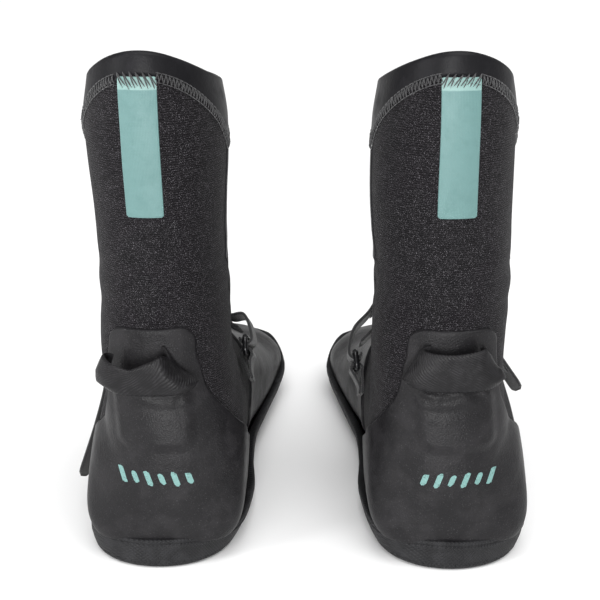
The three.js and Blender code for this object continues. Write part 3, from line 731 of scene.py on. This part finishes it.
def pile_material():
    """Hook and loop tape: a dense dark pile."""
    g = Graph("pile", (0.014, 0.014, 0.015), 0.92)
    tufts = g.cells(0.55)
    g.bump(tufts, 0.35)
    g.bump(g.noise(0.4, 3.0), 0.3)
    g.set("Base Color", g.mix(tufts, (0.03, 0.03, 0.031), (0.006, 0.006, 0.0065)))
    g.set("Roughness", g.ramp(tufts, 0.0, 0.6, 0.82, 0.98))
    g.set("Sheen Weight", 0.5)
    return g.material


def plastic_material():
    """Glossy black moulded plastic with hairline scratches."""
    g = Graph("ring_plastic", (0.009, 0.009, 0.01), 0.2)
    scratch = g.ramp(g.noise(0.7, 6.0), 0.55, 0.7)
    g.bump(g.noise(1.8, 2.0), 0.05)
    g.set("Base Color", g.mix(scratch, (0.007, 0.007, 0.008), (0.022, 0.022, 0.024)))
    g.set("Roughness", g.ramp(scratch, 0.0, 1.0, 0.16, 0.36))
    return g.material


def thread_material(name, dark, light):
    """Twisted thread."""
    g = Graph(name, dark, 0.7)
    twist = g.wave(g.math("ADD", g.axis(g.place, 2), g.axis(g.place, 0)), 0.45)
    g.bump(twist, 0.08)
    # Painted shade: the colour is darker in the grooves of the twist, following the twist that makes the
    # bump, and varied by noise.
    g.set("Base Color", g.mix(g.math("MULTIPLY", twist, g.noise(1.4, 2.0)), dark, light))
    g.set("Roughness", g.ramp(twist, 0.0, 1.0, 0.75, 0.55))
    g.set("Sheen Weight", 0.3)
    return g.material


def foam_material():
    """Dark open foam, pressed smooth in places."""
    g = Graph("foam", (0.03, 0.03, 0.034), 0.9)
    pores = g.cells(0.9)
    pressed = g.ramp(g.noise(20, 3.0), 0.4, 0.7)
    g.bump(pores, 0.3)
    g.set("Base Color", g.mix(pressed, (0.022, 0.022, 0.025), (0.042, 0.042, 0.046)))
    g.set("Roughness", g.ramp(pressed, 0.0, 1.0, 0.94, 0.8))
    return g.material


def lining_material():
    """Grey-black plush jersey inside the boot."""
    g = Graph("lining", (0.02, 0.02, 0.023), 0.95)
    up, around = g.axis(g.place, 2), g.axis(g.cloth, 0)
    loops = g.math("MULTIPLY", g.wave(around, 1.4), g.wave(up, 1.7))
    g.bump(loops, 0.3)
    g.bump(g.noise(0.6, 3.0), 0.2)
    # Painted shade: the colour is darker between the loops, following the loop height that makes the bump.
    g.set("Base Color", g.mix(loops, (0.012, 0.012, 0.014), (0.035, 0.035, 0.04)))
    g.set("Roughness", g.ramp(loops, 0.0, 1.0, 0.98, 0.85))
    g.set("Sheen Weight", 0.4)
    return g.material


MATERIALS = SimpleNamespace(
    knit=knit_material(),
    smooth=smooth_material(),
    shell=shell_material(),
    sole=sole_material(),
    stripe=stripe_material(),
    mark=mark_material(),
    webbing=webbing_material(),
    loop=loop_material(),
    pile=pile_material(),
    plastic=plastic_material(),
    thread=thread_material("black_thread", (0.012, 0.012, 0.013), (0.07, 0.07, 0.073)),
    foam=foam_material(),
    lining=lining_material(),
)


# ---- Pieces cut from the skin ----

def back_box(skin, half, low, high, radius):
    """Distance inside a rounded rectangle on the back of the boot."""
    inside = box_distance(skin.x, skin.up, BACK_SHIFT, half, low, high, radius)
    return np.where(skin.forward < 34, inside, -5)


def neoprene_pieces(skin, put):
    seam = over_line(skin.forward, skin.up, seam_height)
    rim = over_line(skin.forward, skin.up, rim_height)
    floor = skin.up - 13.0
    back = side_distance(skin.forward, skin.up, PANEL_SEAM[::-1])
    pinch = lambda edge, data: -0.5 * np.clip(1 - edge / 1.6, 0, 1) ** 2
    for name, side, nodes in (
        ("back_panel", back, ("heel_panel", "shaft_back_panel")),
        ("front_panel", -back, ("vamp_panel", "shaft_front_panel", "ankle_band")),
    ):
        fields = [side, floor, 2.0 - seam]
        made = lay(f"{skin.boot.side}_{name}", skin, fields, pinch, MATERIALS.knit, soft=1.6)
        put(made, ("foot", "shaft"), "knit_neoprene", *nodes)
    lining = lay(f"{skin.boot.side}_lining", skin, [4.0 - seam, skin.up + 5], -WALL, MATERIALS.lining)
    put(lining, ("foot", "shaft"), "knit_neoprene")

    # The cuff is round at the rim, and drawn in by its seam at the other edge.
    half = (WALL + 0.4) / 2
    inner_face = lambda edge, data: (0.7 - half) - half * round_over(data[:, 9], 2.4)
    outer_face = lambda edge, data: (
        (0.7 - half) + half * round_over(data[:, 9], 2.4) - 0.7 * np.clip(1 - data[:, 8] / 1.5, 0, 1) ** 2
    )
    fields = [seam - 0.15, -rim]
    cuff = lay(f"{skin.boot.side}_cuff", skin, fields, outer_face, MATERIALS.smooth, inner_face, soft=2.4)
    put(cuff, "shaft", "smooth_neoprene", "cuff")

    for name, side in (("outer", skin.x), ("inner", -skin.x)):
        strip = 3.6 - np.abs(skin.forward - SIDE_SEAM)
        fields = [strip, side, skin.up - FLEX_HIGH - 1, -seam - 2.5]
        edge = lip(-0.1, 0.75, 0.8)
        tape = lay(f"{skin.boot.side}_{name}_seam_tape", skin, fields, edge, MATERIALS.smooth, soft=0.8)
        put(tape, "shaft", "smooth_neoprene", f"{name}_seam_tape")

    inside = [back_box(skin, 9.2, 193, SEAM_BACK - 1.2, 0.6)]
    edge = lip(0.0, 0.55, 0.4)
    stripe = lay(f"{skin.boot.side}_back_stripe", skin, inside, edge, MATERIALS.stripe, soft=0.4)
    put(stripe, "shaft", "stripe_tape", "back_stripe")


def rubber_pieces(skin, put):
    side = skin.boot.side
    sole = skin.up - np.interp(skin.forward, *zip(*SOLE_EDGE)) + 3
    heel_line = [tuple(p[:2]) for p in catmull([(*p, 0) for p in HEEL_EDGE], np.linspace(0, 1, 24))]
    rear = side_distance(skin.forward, skin.up, [(-60, 112)] + heel_line + [(118, -20)])
    tab = back_box(skin, TAB_HALF, 55, TAB_TOP, 9)
    ease = 7.0
    heel = np.logaddexp(-rear / ease * 2, tab / ease * 2) * ease / 2
    rubber_lip = lip(-0.1, RUBBER + 0.2, 1.3)
    shell = lay(f"{side}_heel_shell", skin, [heel, sole], rubber_lip, MATERIALS.shell, soft=1.3)
    put(shell, "foot", "shell_rubber", "heel_shell")
    front_line = [tuple(p[:2]) for p in catmull([(*p, 0) for p in FRONT_EDGE], np.linspace(0, 1, 20))]
    front = side_distance(skin.forward, skin.up, front_line + [(122, -20)])
    front = front + 0.9 * np.sin(skin.up * 2 * np.pi / 19)
    shell = lay(f"{side}_front_shell", skin, [front, sole], rubber_lip, MATERIALS.shell, soft=1.3)
    put(shell, "foot", "shell_rubber", "front_shell")
    inside = [back_box(skin, 21.5, 68, 106, 9)]
    patch = lay(f"{side}_heel_patch", skin, inside, swollen_patch, MATERIALS.shell, soft=6)
    put(patch, "foot", "shell_rubber", "heel_patch")
    put(heel_mark(skin), "foot", "stripe_tape")


def swollen_patch(edge, data):
    """A soft swelling with creases where the heel loop's ends pull at it."""
    rise = np.clip(edge / 6, 0, 1)
    rise = rise * rise * (3 - 2 * rise)
    p = data[:, :3]
    waves = np.sin(p[:, 2] * 0.9 + smooth_noise(p, 14, 5) * 5) * bell(p[:, 2], 95, 9)
    tugs = np.sin(p[:, 0] * 0.55 + smooth_noise(p, 9, 5) * 4) * bell(p[:, 2], 101, 7)
    dent = -0.7 * bell(p[:, 2], 91, 3.5) * bell(p[:, 0], BACK_SHIFT, 13)
    return RUBBER + 0.16 + (1.9 + 0.3 * waves + 0.4 * tugs + dent) * rise


def heel_mark(skin):
    """Six slanting bars printed across the heel."""
    bars = np.full(skin.x.shape, -9.0)
    for k in range(6):
        leaning = skin.x - BACK_SHIFT - (k - 2.5) * 7.0 - (skin.up - 54) * 0.35
        tall = 4.2 if k % 2 else 3.2
        bar = np.minimum(1.5 - np.abs(leaning), tall - np.abs(skin.up - 54))
        bars = np.maximum(bars, bar)
    bars = np.where(skin.forward < 34, bars, -5)
    return lay(f"{skin.boot.side}_heel_mark", skin, [bars], RUBBER + 0.17, MATERIALS.mark, soft=0.5)


# ---- The outsole ----

def plan_outline(narrower, shorter, count=260):
    """The outsole's outline seen from above, drawn in at the sides and at the ends."""
    wide, long = SOLE_WALL - narrower, SOLE_WALL - shorter

    def flank(sign):
        return [
            (sign * (half + wide) - inward, -(0.72 * low[0] + 0.28 * high[0]), 0)
            for low, high, half, inward, _, _ in RINGS[1:9]
        ]

    heel = []
    for degrees in (150, 125, 100, 80, 55, 30):
        across, along = math.cos(math.radians(degrees)), math.sin(math.radians(degrees))
        x = (HEEL_HALF + wide) * math.copysign(abs(across) ** (2 / HEEL_SQUARE), across)
        heel.append((x, (HEEL_ROUND + long) * along ** (2 / HEEL_SQUARE) - HEEL_ROUND, 0))
    ring = [(TOE_POLE[0], TOE_POLE[1] - long, 0)] + flank(-1) + heel + flank(1)[::-1]
    overlap = 3 / (len(ring) + 6)
    fine = catmull(ring[-3:] + ring + ring[:4], np.linspace(overlap, 1 - overlap, 3000))
    far = distances(fine)
    return resample(fine, far, np.linspace(0, far[-1], count, endpoint=False))


def outsole(boot):
    """A cup. Its wall leans out from the ground to a thin rounded lip, and its toe turns up a little."""
    wall = [(z, np.interp(z, *zip(*SOLE_FLARE)), 0.7) for z in (3.0, 5.0, 7.5, 10.0, 12.5)]
    profile = [(0.0, 60.0, 60.0), (0.0, 10.8, 7.0), (0.0, 8.2, 3.6), (0.5, 6.4, 2.0), (1.5, 4.7, 1.1)] + wall
    lip_rows = [(-3.4, 0.0), (-2.7, 0.45), (-2.3, 0.5), (-1.9, 0.0), (-1.2, -0.1), (-0.5, 0.1), (-0.1, 0.5)]
    lip_rows += [(0.0, 1.1), (-0.3, 2.2), (-1.2, 4.0), (-3.0, 6.0)]
    rows = []
    for height, narrower, shorter in profile:
        outline = plan_outline(min(narrower, 30.0), shorter)
        if narrower > 30:
            outline[:, 0] = -3
        edge = np.interp(-outline[:, 1], *zip(*SOLE_EDGE)) - 4.4
        rise = np.interp(-outline[:, 1], *zip(*SOLE_UNDER))
        outline[:, 0] += boot.splay * (1 - height / 18)
        outline[:, 2] = rise + height * np.clip((edge - rise) / 13.6, 0.6, 1.6)
        rows.append(outline)
    for drop, inset in lip_rows:
        outline = plan_outline(inset - 1.2, inset + 0.1)
        ripple = 0.3 * np.sin(np.arange(len(outline)) * 2 * np.pi * 11 / len(outline))
        outline[:, 2] = np.interp(-outline[:, 1], *zip(*SOLE_EDGE)) + drop + ripple
        rows.append(outline)
    points = np.concatenate(rows)
    around = np.linspace(0, 620, len(rows[0]), endpoint=False)
    uv = np.stack([np.tile(around, len(rows)), points[:, 2]], -1)
    faces = grid_faces(len(rows), len(rows[0]), closed=True)
    return make_object(f"{boot.side}_outsole", boot, points, faces[:, ::-1], uv, MATERIALS.sole)


# ---- The strap ----

STRAP_ORIGIN = np.array([0, -70.0, 28.0])
STRAP_LEAN = math.radians(30)
STRAP_UP = np.array([0, -math.sin(STRAP_LEAN), math.cos(STRAP_LEAN)])
STRAP_SIDE = np.array([0, -math.cos(STRAP_LEAN), -math.sin(STRAP_LEAN)])


def strap_place(x, up):
    return STRAP_ORIGIN + STRAP_UP * up + np.array([x, 0, 0])


def girth(skin, start, end, depth):
    """Where the skin, moved out by depth, passes through the strap's plane. A ring counts as 22 steps."""
    step = 1 if end >= start else -1
    rows = np.arange(RING_STEPS)
    out = []
    for i in range(start, end + step, step):
        column = ((i / 22 + 0.5) % 1) * ROUND_STEPS
        line, _ = skin_point(skin, rows, np.full(RING_STEPS, column), np.full(RING_STEPS, depth))
        ahead = (line - STRAP_ORIGIN) @ STRAP_SIDE
        k = int(np.argmax(ahead <= 0))
        share = ahead[k - 1] / (ahead[k - 1] - ahead[k])
        out.append(line[k - 1] * (1 - share) + line[k] * share)
    return out


def strap_curve(points, ts, way=1):
    """A smooth path in the strap's plane, with its outward direction and the one across its width."""
    centre = catmull(points, ts)
    along = catmull(points, ts + 1e-4) - catmull(points, ts - 1e-4)
    normal = way * np.cross(along, STRAP_SIDE)
    normal /= np.linalg.norm(normal, axis=1, keepdims=True)
    return centre, normal, np.broadcast_to(way * STRAP_SIDE, centre.shape)


def strap_band(name, boot, points, span, offset, width, thick, material, round_end=0.0, steps=12):
    """A band along part of a path in the strap's plane, offset to the outside of it."""
    count = max(int((span[1] - span[0]) * steps), 8)
    ts = np.linspace(span[0], span[1], count + 1) / (len(points) - 1)
    centre, normal, side = strap_curve(points, ts)
    curl = 0.35 * np.sin(np.arange(len(centre)) / len(centre) * 7)
    tilt = side + normal * (curl / width)[:, None]
    return ribbon(name, boot, centre + normal * offset, normal, tilt, width, thick, material, round_end)


def strap_pieces(skin, put):
    boot = skin.boot
    bar_x, bar_up = boot.bar
    side = boot.side
    base = girth(skin, 5, 13, LIE) + [strap_place(bar_x + FOLD, bar_up + 6)]
    turns = [math.radians(degrees) for degrees in (0, 45, 90, 135, 180)]
    turn = [strap_place(bar_x + FOLD * math.cos(a), bar_up - FOLD * math.sin(a)) for a in turns]
    over = [strap_place(bar_x + 1, bar_up + 14)]
    for i in range(13, boot.leave - 1, -1):
        turned = (ARCH_START - i) / (ARCH_START - ARCH_END)
        over += girth(skin, i, i, LIE + STACK + boot.arch * math.sin(math.pi * min(turned, 1)))
    back = turn + over + [strap_place(x, up) for x, up in boot.tail]
    flap = back[::-1]
    whole = (0, len(base) - 1)
    run = strap_band(f"{side}_strap_base", boot, base, whole, 0, STRAP_WIDTH, STRAP, MATERIALS.webbing)
    put(run, "foot", "webbing", "strap_base")
    put(return_run(f"{side}_strap_flap", boot, back), "strap_end", "webbing", "strap_flap")
    under, wide, thick = -(STRAP + GAP + PILE) / 2, STRAP_WIDTH - 3, PILE + GAP
    hooks = (boot.hooks, len(flap) - len(turn) - 2)
    tape = strap_band(f"{side}_hook_tape", boot, flap, hooks, under, wide, thick, MATERIALS.pile)
    put(tape, "strap_end", "pile_tape", "hook_tape")
    tape = strap_band(f"{side}_loop_tape", boot, base, (4, 7), -under, wide, thick, MATERIALS.pile)
    put(tape, "foot", "pile_tape", "loop_tape")
    anchor = girth(skin, 4, 6, LIE + STRAP / 2 + GAP + 0.7)
    anchor[0] = anchor[0] * 0.35 + anchor[1] * 0.65
    wide, thick = STRAP_WIDTH + 5, 1.5
    pad = strap_band(f"{side}_strap_anchor", boot, anchor, (0, 2), 0, wide, thick, MATERIALS.shell, 5.0, 16)
    put(pad, "foot", "shell_rubber", "strap_anchor")


def return_run(name, boot, points):
    """The strap's return run, from the ring to its rounded loose end."""
    curve = strap_curve(points, np.linspace(0, 1, 14 * (len(points) - 1)), -1)
    return ribbon(name, boot, *curve, STRAP_WIDTH, STRAP, MATERIALS.webbing, round_end=6.0)


def strap_ring(boot):
    """A rounded frame of round rod."""
    long, short, corner, round_steps = (RING_LONG - ROD) / 2, (RING_SHORT - ROD) / 2, 2.6, 14
    line = []
    for sx, sy, start in CORNERS:
        line += arc(sx * (long - corner), sy * (short - corner), corner, range(start, start + 91, 15))
    closed = np.array(line + line[:1])
    far = distances(closed)
    line = resample(closed, far, np.linspace(0, far[-1], 96, endpoint=False))
    out = np.roll(line, -1, axis=0) - np.roll(line, 1, axis=0)
    out = np.stack([out[:, 1], -out[:, 0]], -1) / np.linalg.norm(out, axis=1, keepdims=True)
    centre = strap_place(boot.bar[0], boot.bar[1] - short)
    third = np.cross(STRAP_SIDE, STRAP_UP)
    turn = 2 * np.pi * np.arange(round_steps) / round_steps
    rows = []
    for place, way in zip(line, out):
        middle = centre + STRAP_SIDE * place[0] + STRAP_UP * place[1]
        lateral = STRAP_SIDE * way[0] + STRAP_UP * way[1]
        rows.append(middle + ROD / 2 * (np.outer(np.cos(turn), lateral) + np.outer(np.sin(turn), third)))
    points = np.concatenate(rows)
    # One row of faces more than there are rows of points joins the last row to the first.
    faces = grid_faces(len(rows) + 1, round_steps, closed=True) % len(points)
    return make_object(f"{boot.side}_strap_ring", boot, points, faces, points[:, :2], MATERIALS.plastic)


def inner_place(skin, up, depth):
    """The place on the inner side at a height up the strap's plane."""
    line = np.array(girth(skin, 18, 13, depth))
    height = (line - STRAP_ORIGIN) @ STRAP_UP
    return np.array([np.interp(up, height, line[:, k]) for k in range(3)])


def ring_anchor(skin):
    """Webbing that comes up the inner side, passes round the ring's lower bar and goes back down."""
    boot = skin.boot
    x, up = boot.bar[0], boot.bar[1] - (RING_SHORT - ROD)
    thick, length = 1.5, 15
    lie = 3 * GAP + RUBBER + 0.7 + thick / 2
    low = [inner_place(skin, up - length, lie), inner_place(skin, up - 0.7 * length, lie)]
    outer_lie = lie + thick + 0.15
    high = [inner_place(skin, up - 0.7 * length, outer_lie), inner_place(skin, up - length, outer_lie)]
    eye = [strap_place(*place) for place in arc(x, up, BORE + thick / 2, (-35, 20, 75, 130, 185, 225))]
    curve = strap_curve(low + eye + high, np.linspace(0, 1, 120), -1)
    return ribbon(f"{boot.side}_ring_anchor", boot, *curve, 20.0, thick, MATERIALS.webbing)


# ---- The heel loop ----

def heel_loop(boot):
    """A tape bonded to the shell at both ends. It is widest near its foot, where it folds at each side."""
    steps, rows = 110, 17
    grids = []
    for k in range(rows):
        h = k / (rows - 1)
        wide = np.interp(h, [0, 0.25, 0.5, 1], [21, 25.5, 23.5, 16])
        out = boot.reach + (boot.lip - boot.reach) * h + 0.8 * math.sin(math.pi * h)
        side = [(0.75 * wide, -6), (wide - 2, -5), (wide, -2), (0.72 * wide, out - 1.3)]
        plan = [(-x, y) for x, y in side] + [(0, out)] + side[::-1]
        line = catmull([(x + boot.sway * h, y, 0) for x, y in plan], np.linspace(0, 1, steps))
        sag = 0.8 * np.sin(np.linspace(0, np.pi, steps)) * (1 - h)
        crest = np.interp(line[:, 0], *zip(*boot.crest)) * h * h
        line[:, 2] = boot.low + boot.tall * h - sag + crest + 0.5 * np.sin(np.linspace(0, 9, steps) + h)
        grids.append(line)
    middle = np.array(grids)
    normal = np.cross(np.gradient(middle, axis=1), np.gradient(middle, axis=0))
    normal /= np.linalg.norm(normal, axis=-1, keepdims=True)
    edge = np.minimum(np.arange(rows), np.arange(rows)[::-1])[:, None, None]
    half = 0.8 * np.maximum(round_over(edge, 1.4), math.sqrt(0.02))
    front, back = middle + normal * half, middle - normal * half
    points = np.concatenate([front, back[::-1]]).reshape(-1, 3)
    length = np.broadcast_to(np.linspace(0, 70, steps), (rows, steps))
    height = np.broadcast_to(np.linspace(0, boot.tall, rows)[:, None], (rows, steps))
    uv = np.concatenate([np.stack([up, length], -1) for up in (height, height[::-1])]).reshape(-1, 2)
    # One row of faces more than there are rows of points joins the back face's last row to the front face.
    faces = grid_faces(2 * rows + 1, steps) % len(points)
    return make_object(f"{boot.side}_heel_loop", boot, points, faces, uv, MATERIALS.loop)


# ---- Stitching ----

def shaft_line(skin, height, offset, depth, spacing):
    """Points round the shaft at an offset above a line, a spacing apart, with their outward directions."""
    columns = np.arange(0, ROUND_STEPS + 1)
    rows = []
    for c in columns:
        over = over_line(skin.forward[:, c], skin.up[:, c], height) - offset
        high = np.where((over[:-1] < 0) & (over[1:] >= 0) & (skin.up[:-1, c] > 180))[0][-1]
        rows.append(high + over[high] / (over[high] - over[high + 1]))
    line, normal = skin_point(skin, np.array(rows), columns, np.full(len(columns), depth))
    far = distances(line)
    even = np.arange(0, far[-1], spacing)
    return resample(line, far, even), resample(normal, far, even)


def cuff_stitching(skin):
    """An overlock seam: slanting stitches over the cuff's edge, tied at both sides, and some loose ends."""
    rng = np.random.default_rng(skin.boot.seed)
    low, normal = shaft_line(skin, seam_height, -2.1, 0.25, 1.0)
    high, _ = shaft_line(skin, seam_height, 1.7, 0.85, 1.0)
    count = min(len(low), len(high))
    pick = lambda line: line[np.linspace(0, len(line) - 1, count).astype(int)]
    low, high, normal = pick(low), pick(high), pick(normal)
    lines = []
    beside = [k for k in range(count - 3) if np.abs(low[k, 0] - BACK_SHIFT) > 9.5 or low[k, 1] < -SIDE_SEAM]
    for k in beside[::2]:
        lines.append(stitch(low[k], high[k + 1] + rng.normal(0, 0.18, 3), normal[k], 0.7))
        lines.append(stitch(high[k + 1], low[k + 2] + rng.normal(0, 0.18, 3), normal[k], 0.4))
    for k in beside[::3]:
        lines.append(stitch(high[k], high[k + 3], normal[k], 0.3))
        lines.append(stitch(low[k], low[k + 3], normal[k], 0.3))
    for k in rng.integers(0, count - 1, 26):
        way = rng.normal(0, 1, 3) + normal[k] * 1.2
        lines.append([low[k], low[k] + way * 0.45, low[k] + way * 0.8 + rng.normal(0, 0.3, 3)])
    return threads(f"{skin.boot.side}_cuff_stitching", skin.boot, lines, 0.24, MATERIALS.thread)


def stitch(a, b, normal, lift):
    """A thread from a to b that arches over the cloth."""
    shares = np.linspace(0, 1, 5)
    arch = np.sin(shares * np.pi)[:, None] * normal * lift
    return a[None] * (1 - shares[:, None]) + b[None] * shares[:, None] + arch


def stripe_stitching(skin):
    """Six loose slanting stitches over the stripe's top end."""
    rng = np.random.default_rng(skin.boot.seed + 5)
    feet_x = np.linspace(-8.2, 6.2, 6) + BACK_SHIFT
    feet, n = back_point(skin, feet_x, np.full(6, SEAM_BACK - 6.2) + rng.normal(0, 0.35, 6), 0.75)
    heads, _ = back_point(skin, feet_x + 2.6, np.full(6, SEAM_BACK + 0.6) + rng.normal(0, 0.35, 6), 1.2)
    lines = []
    for k in range(6):
        lines.append(stitch(feet[k], heads[k], n[k], 0.9))
        lines.append(stitch(heads[k], feet[k] + (feet[k] - heads[k]) * [0.5, 0, -0.12], n[k], 0.5))
    return threads(f"{skin.boot.side}_stripe_stitching", skin.boot, lines, 0.32, MATERIALS.thread)


def strap_fuzz(skin, put):
    """Short fibres that stand out of the hook and loop tapes along the strap's edges."""
    boot = skin.boot
    rng = np.random.default_rng(boot.seed + 9)
    path = girth(skin, boot.leave, 13, LIE + STACK / 2)
    centre = catmull(path, rng.random(420))
    lines = []
    for point in centre:
        sign = rng.choice([-1, 1])
        root = point + STRAP_SIDE * sign * (STRAP_WIDTH / 2 - 1.8) + rng.normal(0, 0.7, 3)
        way = STRAP_SIDE * sign * rng.uniform(0.4, 1.6) + rng.normal(0, 0.7, 3)
        lines.append([root, root + way, root + way * 1.6 + rng.normal(0, 0.5, 3)])
    put(threads(f"{boot.side}_strap_fuzz", boot, lines, 0.07, MATERIALS.thread, sides=3), "foot", "pile_tape")


# ---- One boot ----

def build(boot):
    skin = make_skin(boot)
    side = boot.side
    # Where a piece stops following the first body and where it follows the second one only.
    bends = {
        ("foot", "shaft"): ((0, -SIDE_SEAM, FLEX_LOW - 6), (0, -SIDE_SEAM, FLEX_HIGH + 6)),
        ("foot", "loop"): ((0, -5.5, boot.low), (0, 3.0, boot.low)),
    }

    def put(made, body, finish, *nodes):
        """Fixes a piece to its body, or bakes its placement into its mesh when it lies between two, and hides
        the CAD nodes it stands for.
        """
        if body in bends:
            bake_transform(made)
        else:
            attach(made, f"{side}_{body}")
        if nodes:
            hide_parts(*[f"{side}_{node}" for node in nodes])

    neoprene_pieces(skin, put)
    rubber_pieces(skin, put)
    put(outsole(boot), "foot", "sole_rubber", "outsole")
    strap_pieces(skin, put)
    put(strap_ring(boot), "ring", "plastic", "strap_ring")
    put(ring_anchor(skin), "foot", "webbing", "ring_anchor")
    put(heel_loop(boot), ("foot", "loop"), "shell_rubber", "heel_loop")
    put(cuff_stitching(skin), "shaft", "thread", "cuff_stitching")
    put(stripe_stitching(skin), "shaft", "thread")
    strap_fuzz(skin, put)
    for node, material in ((f"{side}_insole", MATERIALS.foam), (f"{side}_sole_panel", MATERIALS.lining)):
        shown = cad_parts[node]
        shown.data.materials.clear()
        shown.data.materials.append(material)


# ---- The studio ----

FLOOR_REACH = 60.0  # metres, so that its edge is lost in the distance
SKY_LIGHT = 0.42
PHOTO_LENS = 62.4


def aim(light, place, target):
    light.rotation_euler = (Vector(target) - Vector(place)).to_track_quat("-Z", "Y").to_euler()


def area_light(name, place, target, size, power):
    data = bpy.data.lights.new(name, "AREA")
    data.shape = "RECTANGLE"
    data.size, data.size_y = size
    data.energy = power
    light = add_object(name, data)
    light.location = place
    aim(light, place, target)


def pale_floor():
    mesh = bpy.data.meshes.new("floor")
    corners = [(x * FLOOR_REACH, y * FLOOR_REACH, 0) for x, y in ((-1, -1), (1, -1), (1, 1), (-1, 1))]
    mesh.from_pydata(corners, [], [(0, 1, 2, 3)])
    g = Graph("pale_floor", (0.9, 0.9, 0.9), 0.8)
    g.set("Base Color", g.mix(g.noise(400, 2.0), (0.9, 0.9, 0.9), (0.92, 0.92, 0.92)))
    g.set("Specular IOR Level", 0.0)
    mesh.materials.append(g.material)
    add_object("floor", mesh)


def backdrop():
    """The camera sees it white, and its light on the boots is dimmer than that."""
    world = bpy.data.worlds.new("studio")
    world.use_nodes = True
    background = world.node_tree.nodes["Background"]
    background.inputs["Color"].default_value = (1, 1, 1, 1)
    rays = world.node_tree.nodes.new("ShaderNodeLightPath")
    strength = world.node_tree.nodes.new("ShaderNodeMapRange")
    strength.inputs["To Min"].default_value = SKY_LIGHT
    strength.inputs["To Max"].default_value = 1.0
    world.node_tree.links.new(rays.outputs["Is Camera Ray"], strength.inputs["Value"])
    world.node_tree.links.new(strength.outputs["Result"], background.inputs["Strength"])
    bpy.context.scene.world = world


def lights():
    sun = bpy.data.lights.new("sky_panel", "SUN")
    sun.energy = 2.5
    sun.angle = math.radians(55)
    aim(add_object("sky_panel", sun), (-0.15, 0.35, 1), (0, 0, 0))
    area_light("key", (0.1, 1.9, 0.35), (0, 0.1, 0.1), (0.35, 0.6), 24)
    area_light("edge", (1.3, 0.75, 0.5), (0.08, 0.1, 0.08), (0.3, 0.9), 8)


def photo_camera():
    data = bpy.data.cameras.new("camera")
    data.sensor_width = 36
    data.lens = PHOTO_LENS
    data.shift_x = -7 / 600
    camera = add_object("camera", data)
    camera.location = (-0.0027, 0.6136, 0.328)
    camera.rotation_euler = (math.radians(70), 0, math.pi)
    bpy.context.scene.camera = camera
    bpy.context.scene.view_settings.view_transform = "Standard"


for boot in BOOTS:
    build(boot)
pale_floor()
backdrop()
lights()
photo_camera()

bpy.context.view_layer.update()
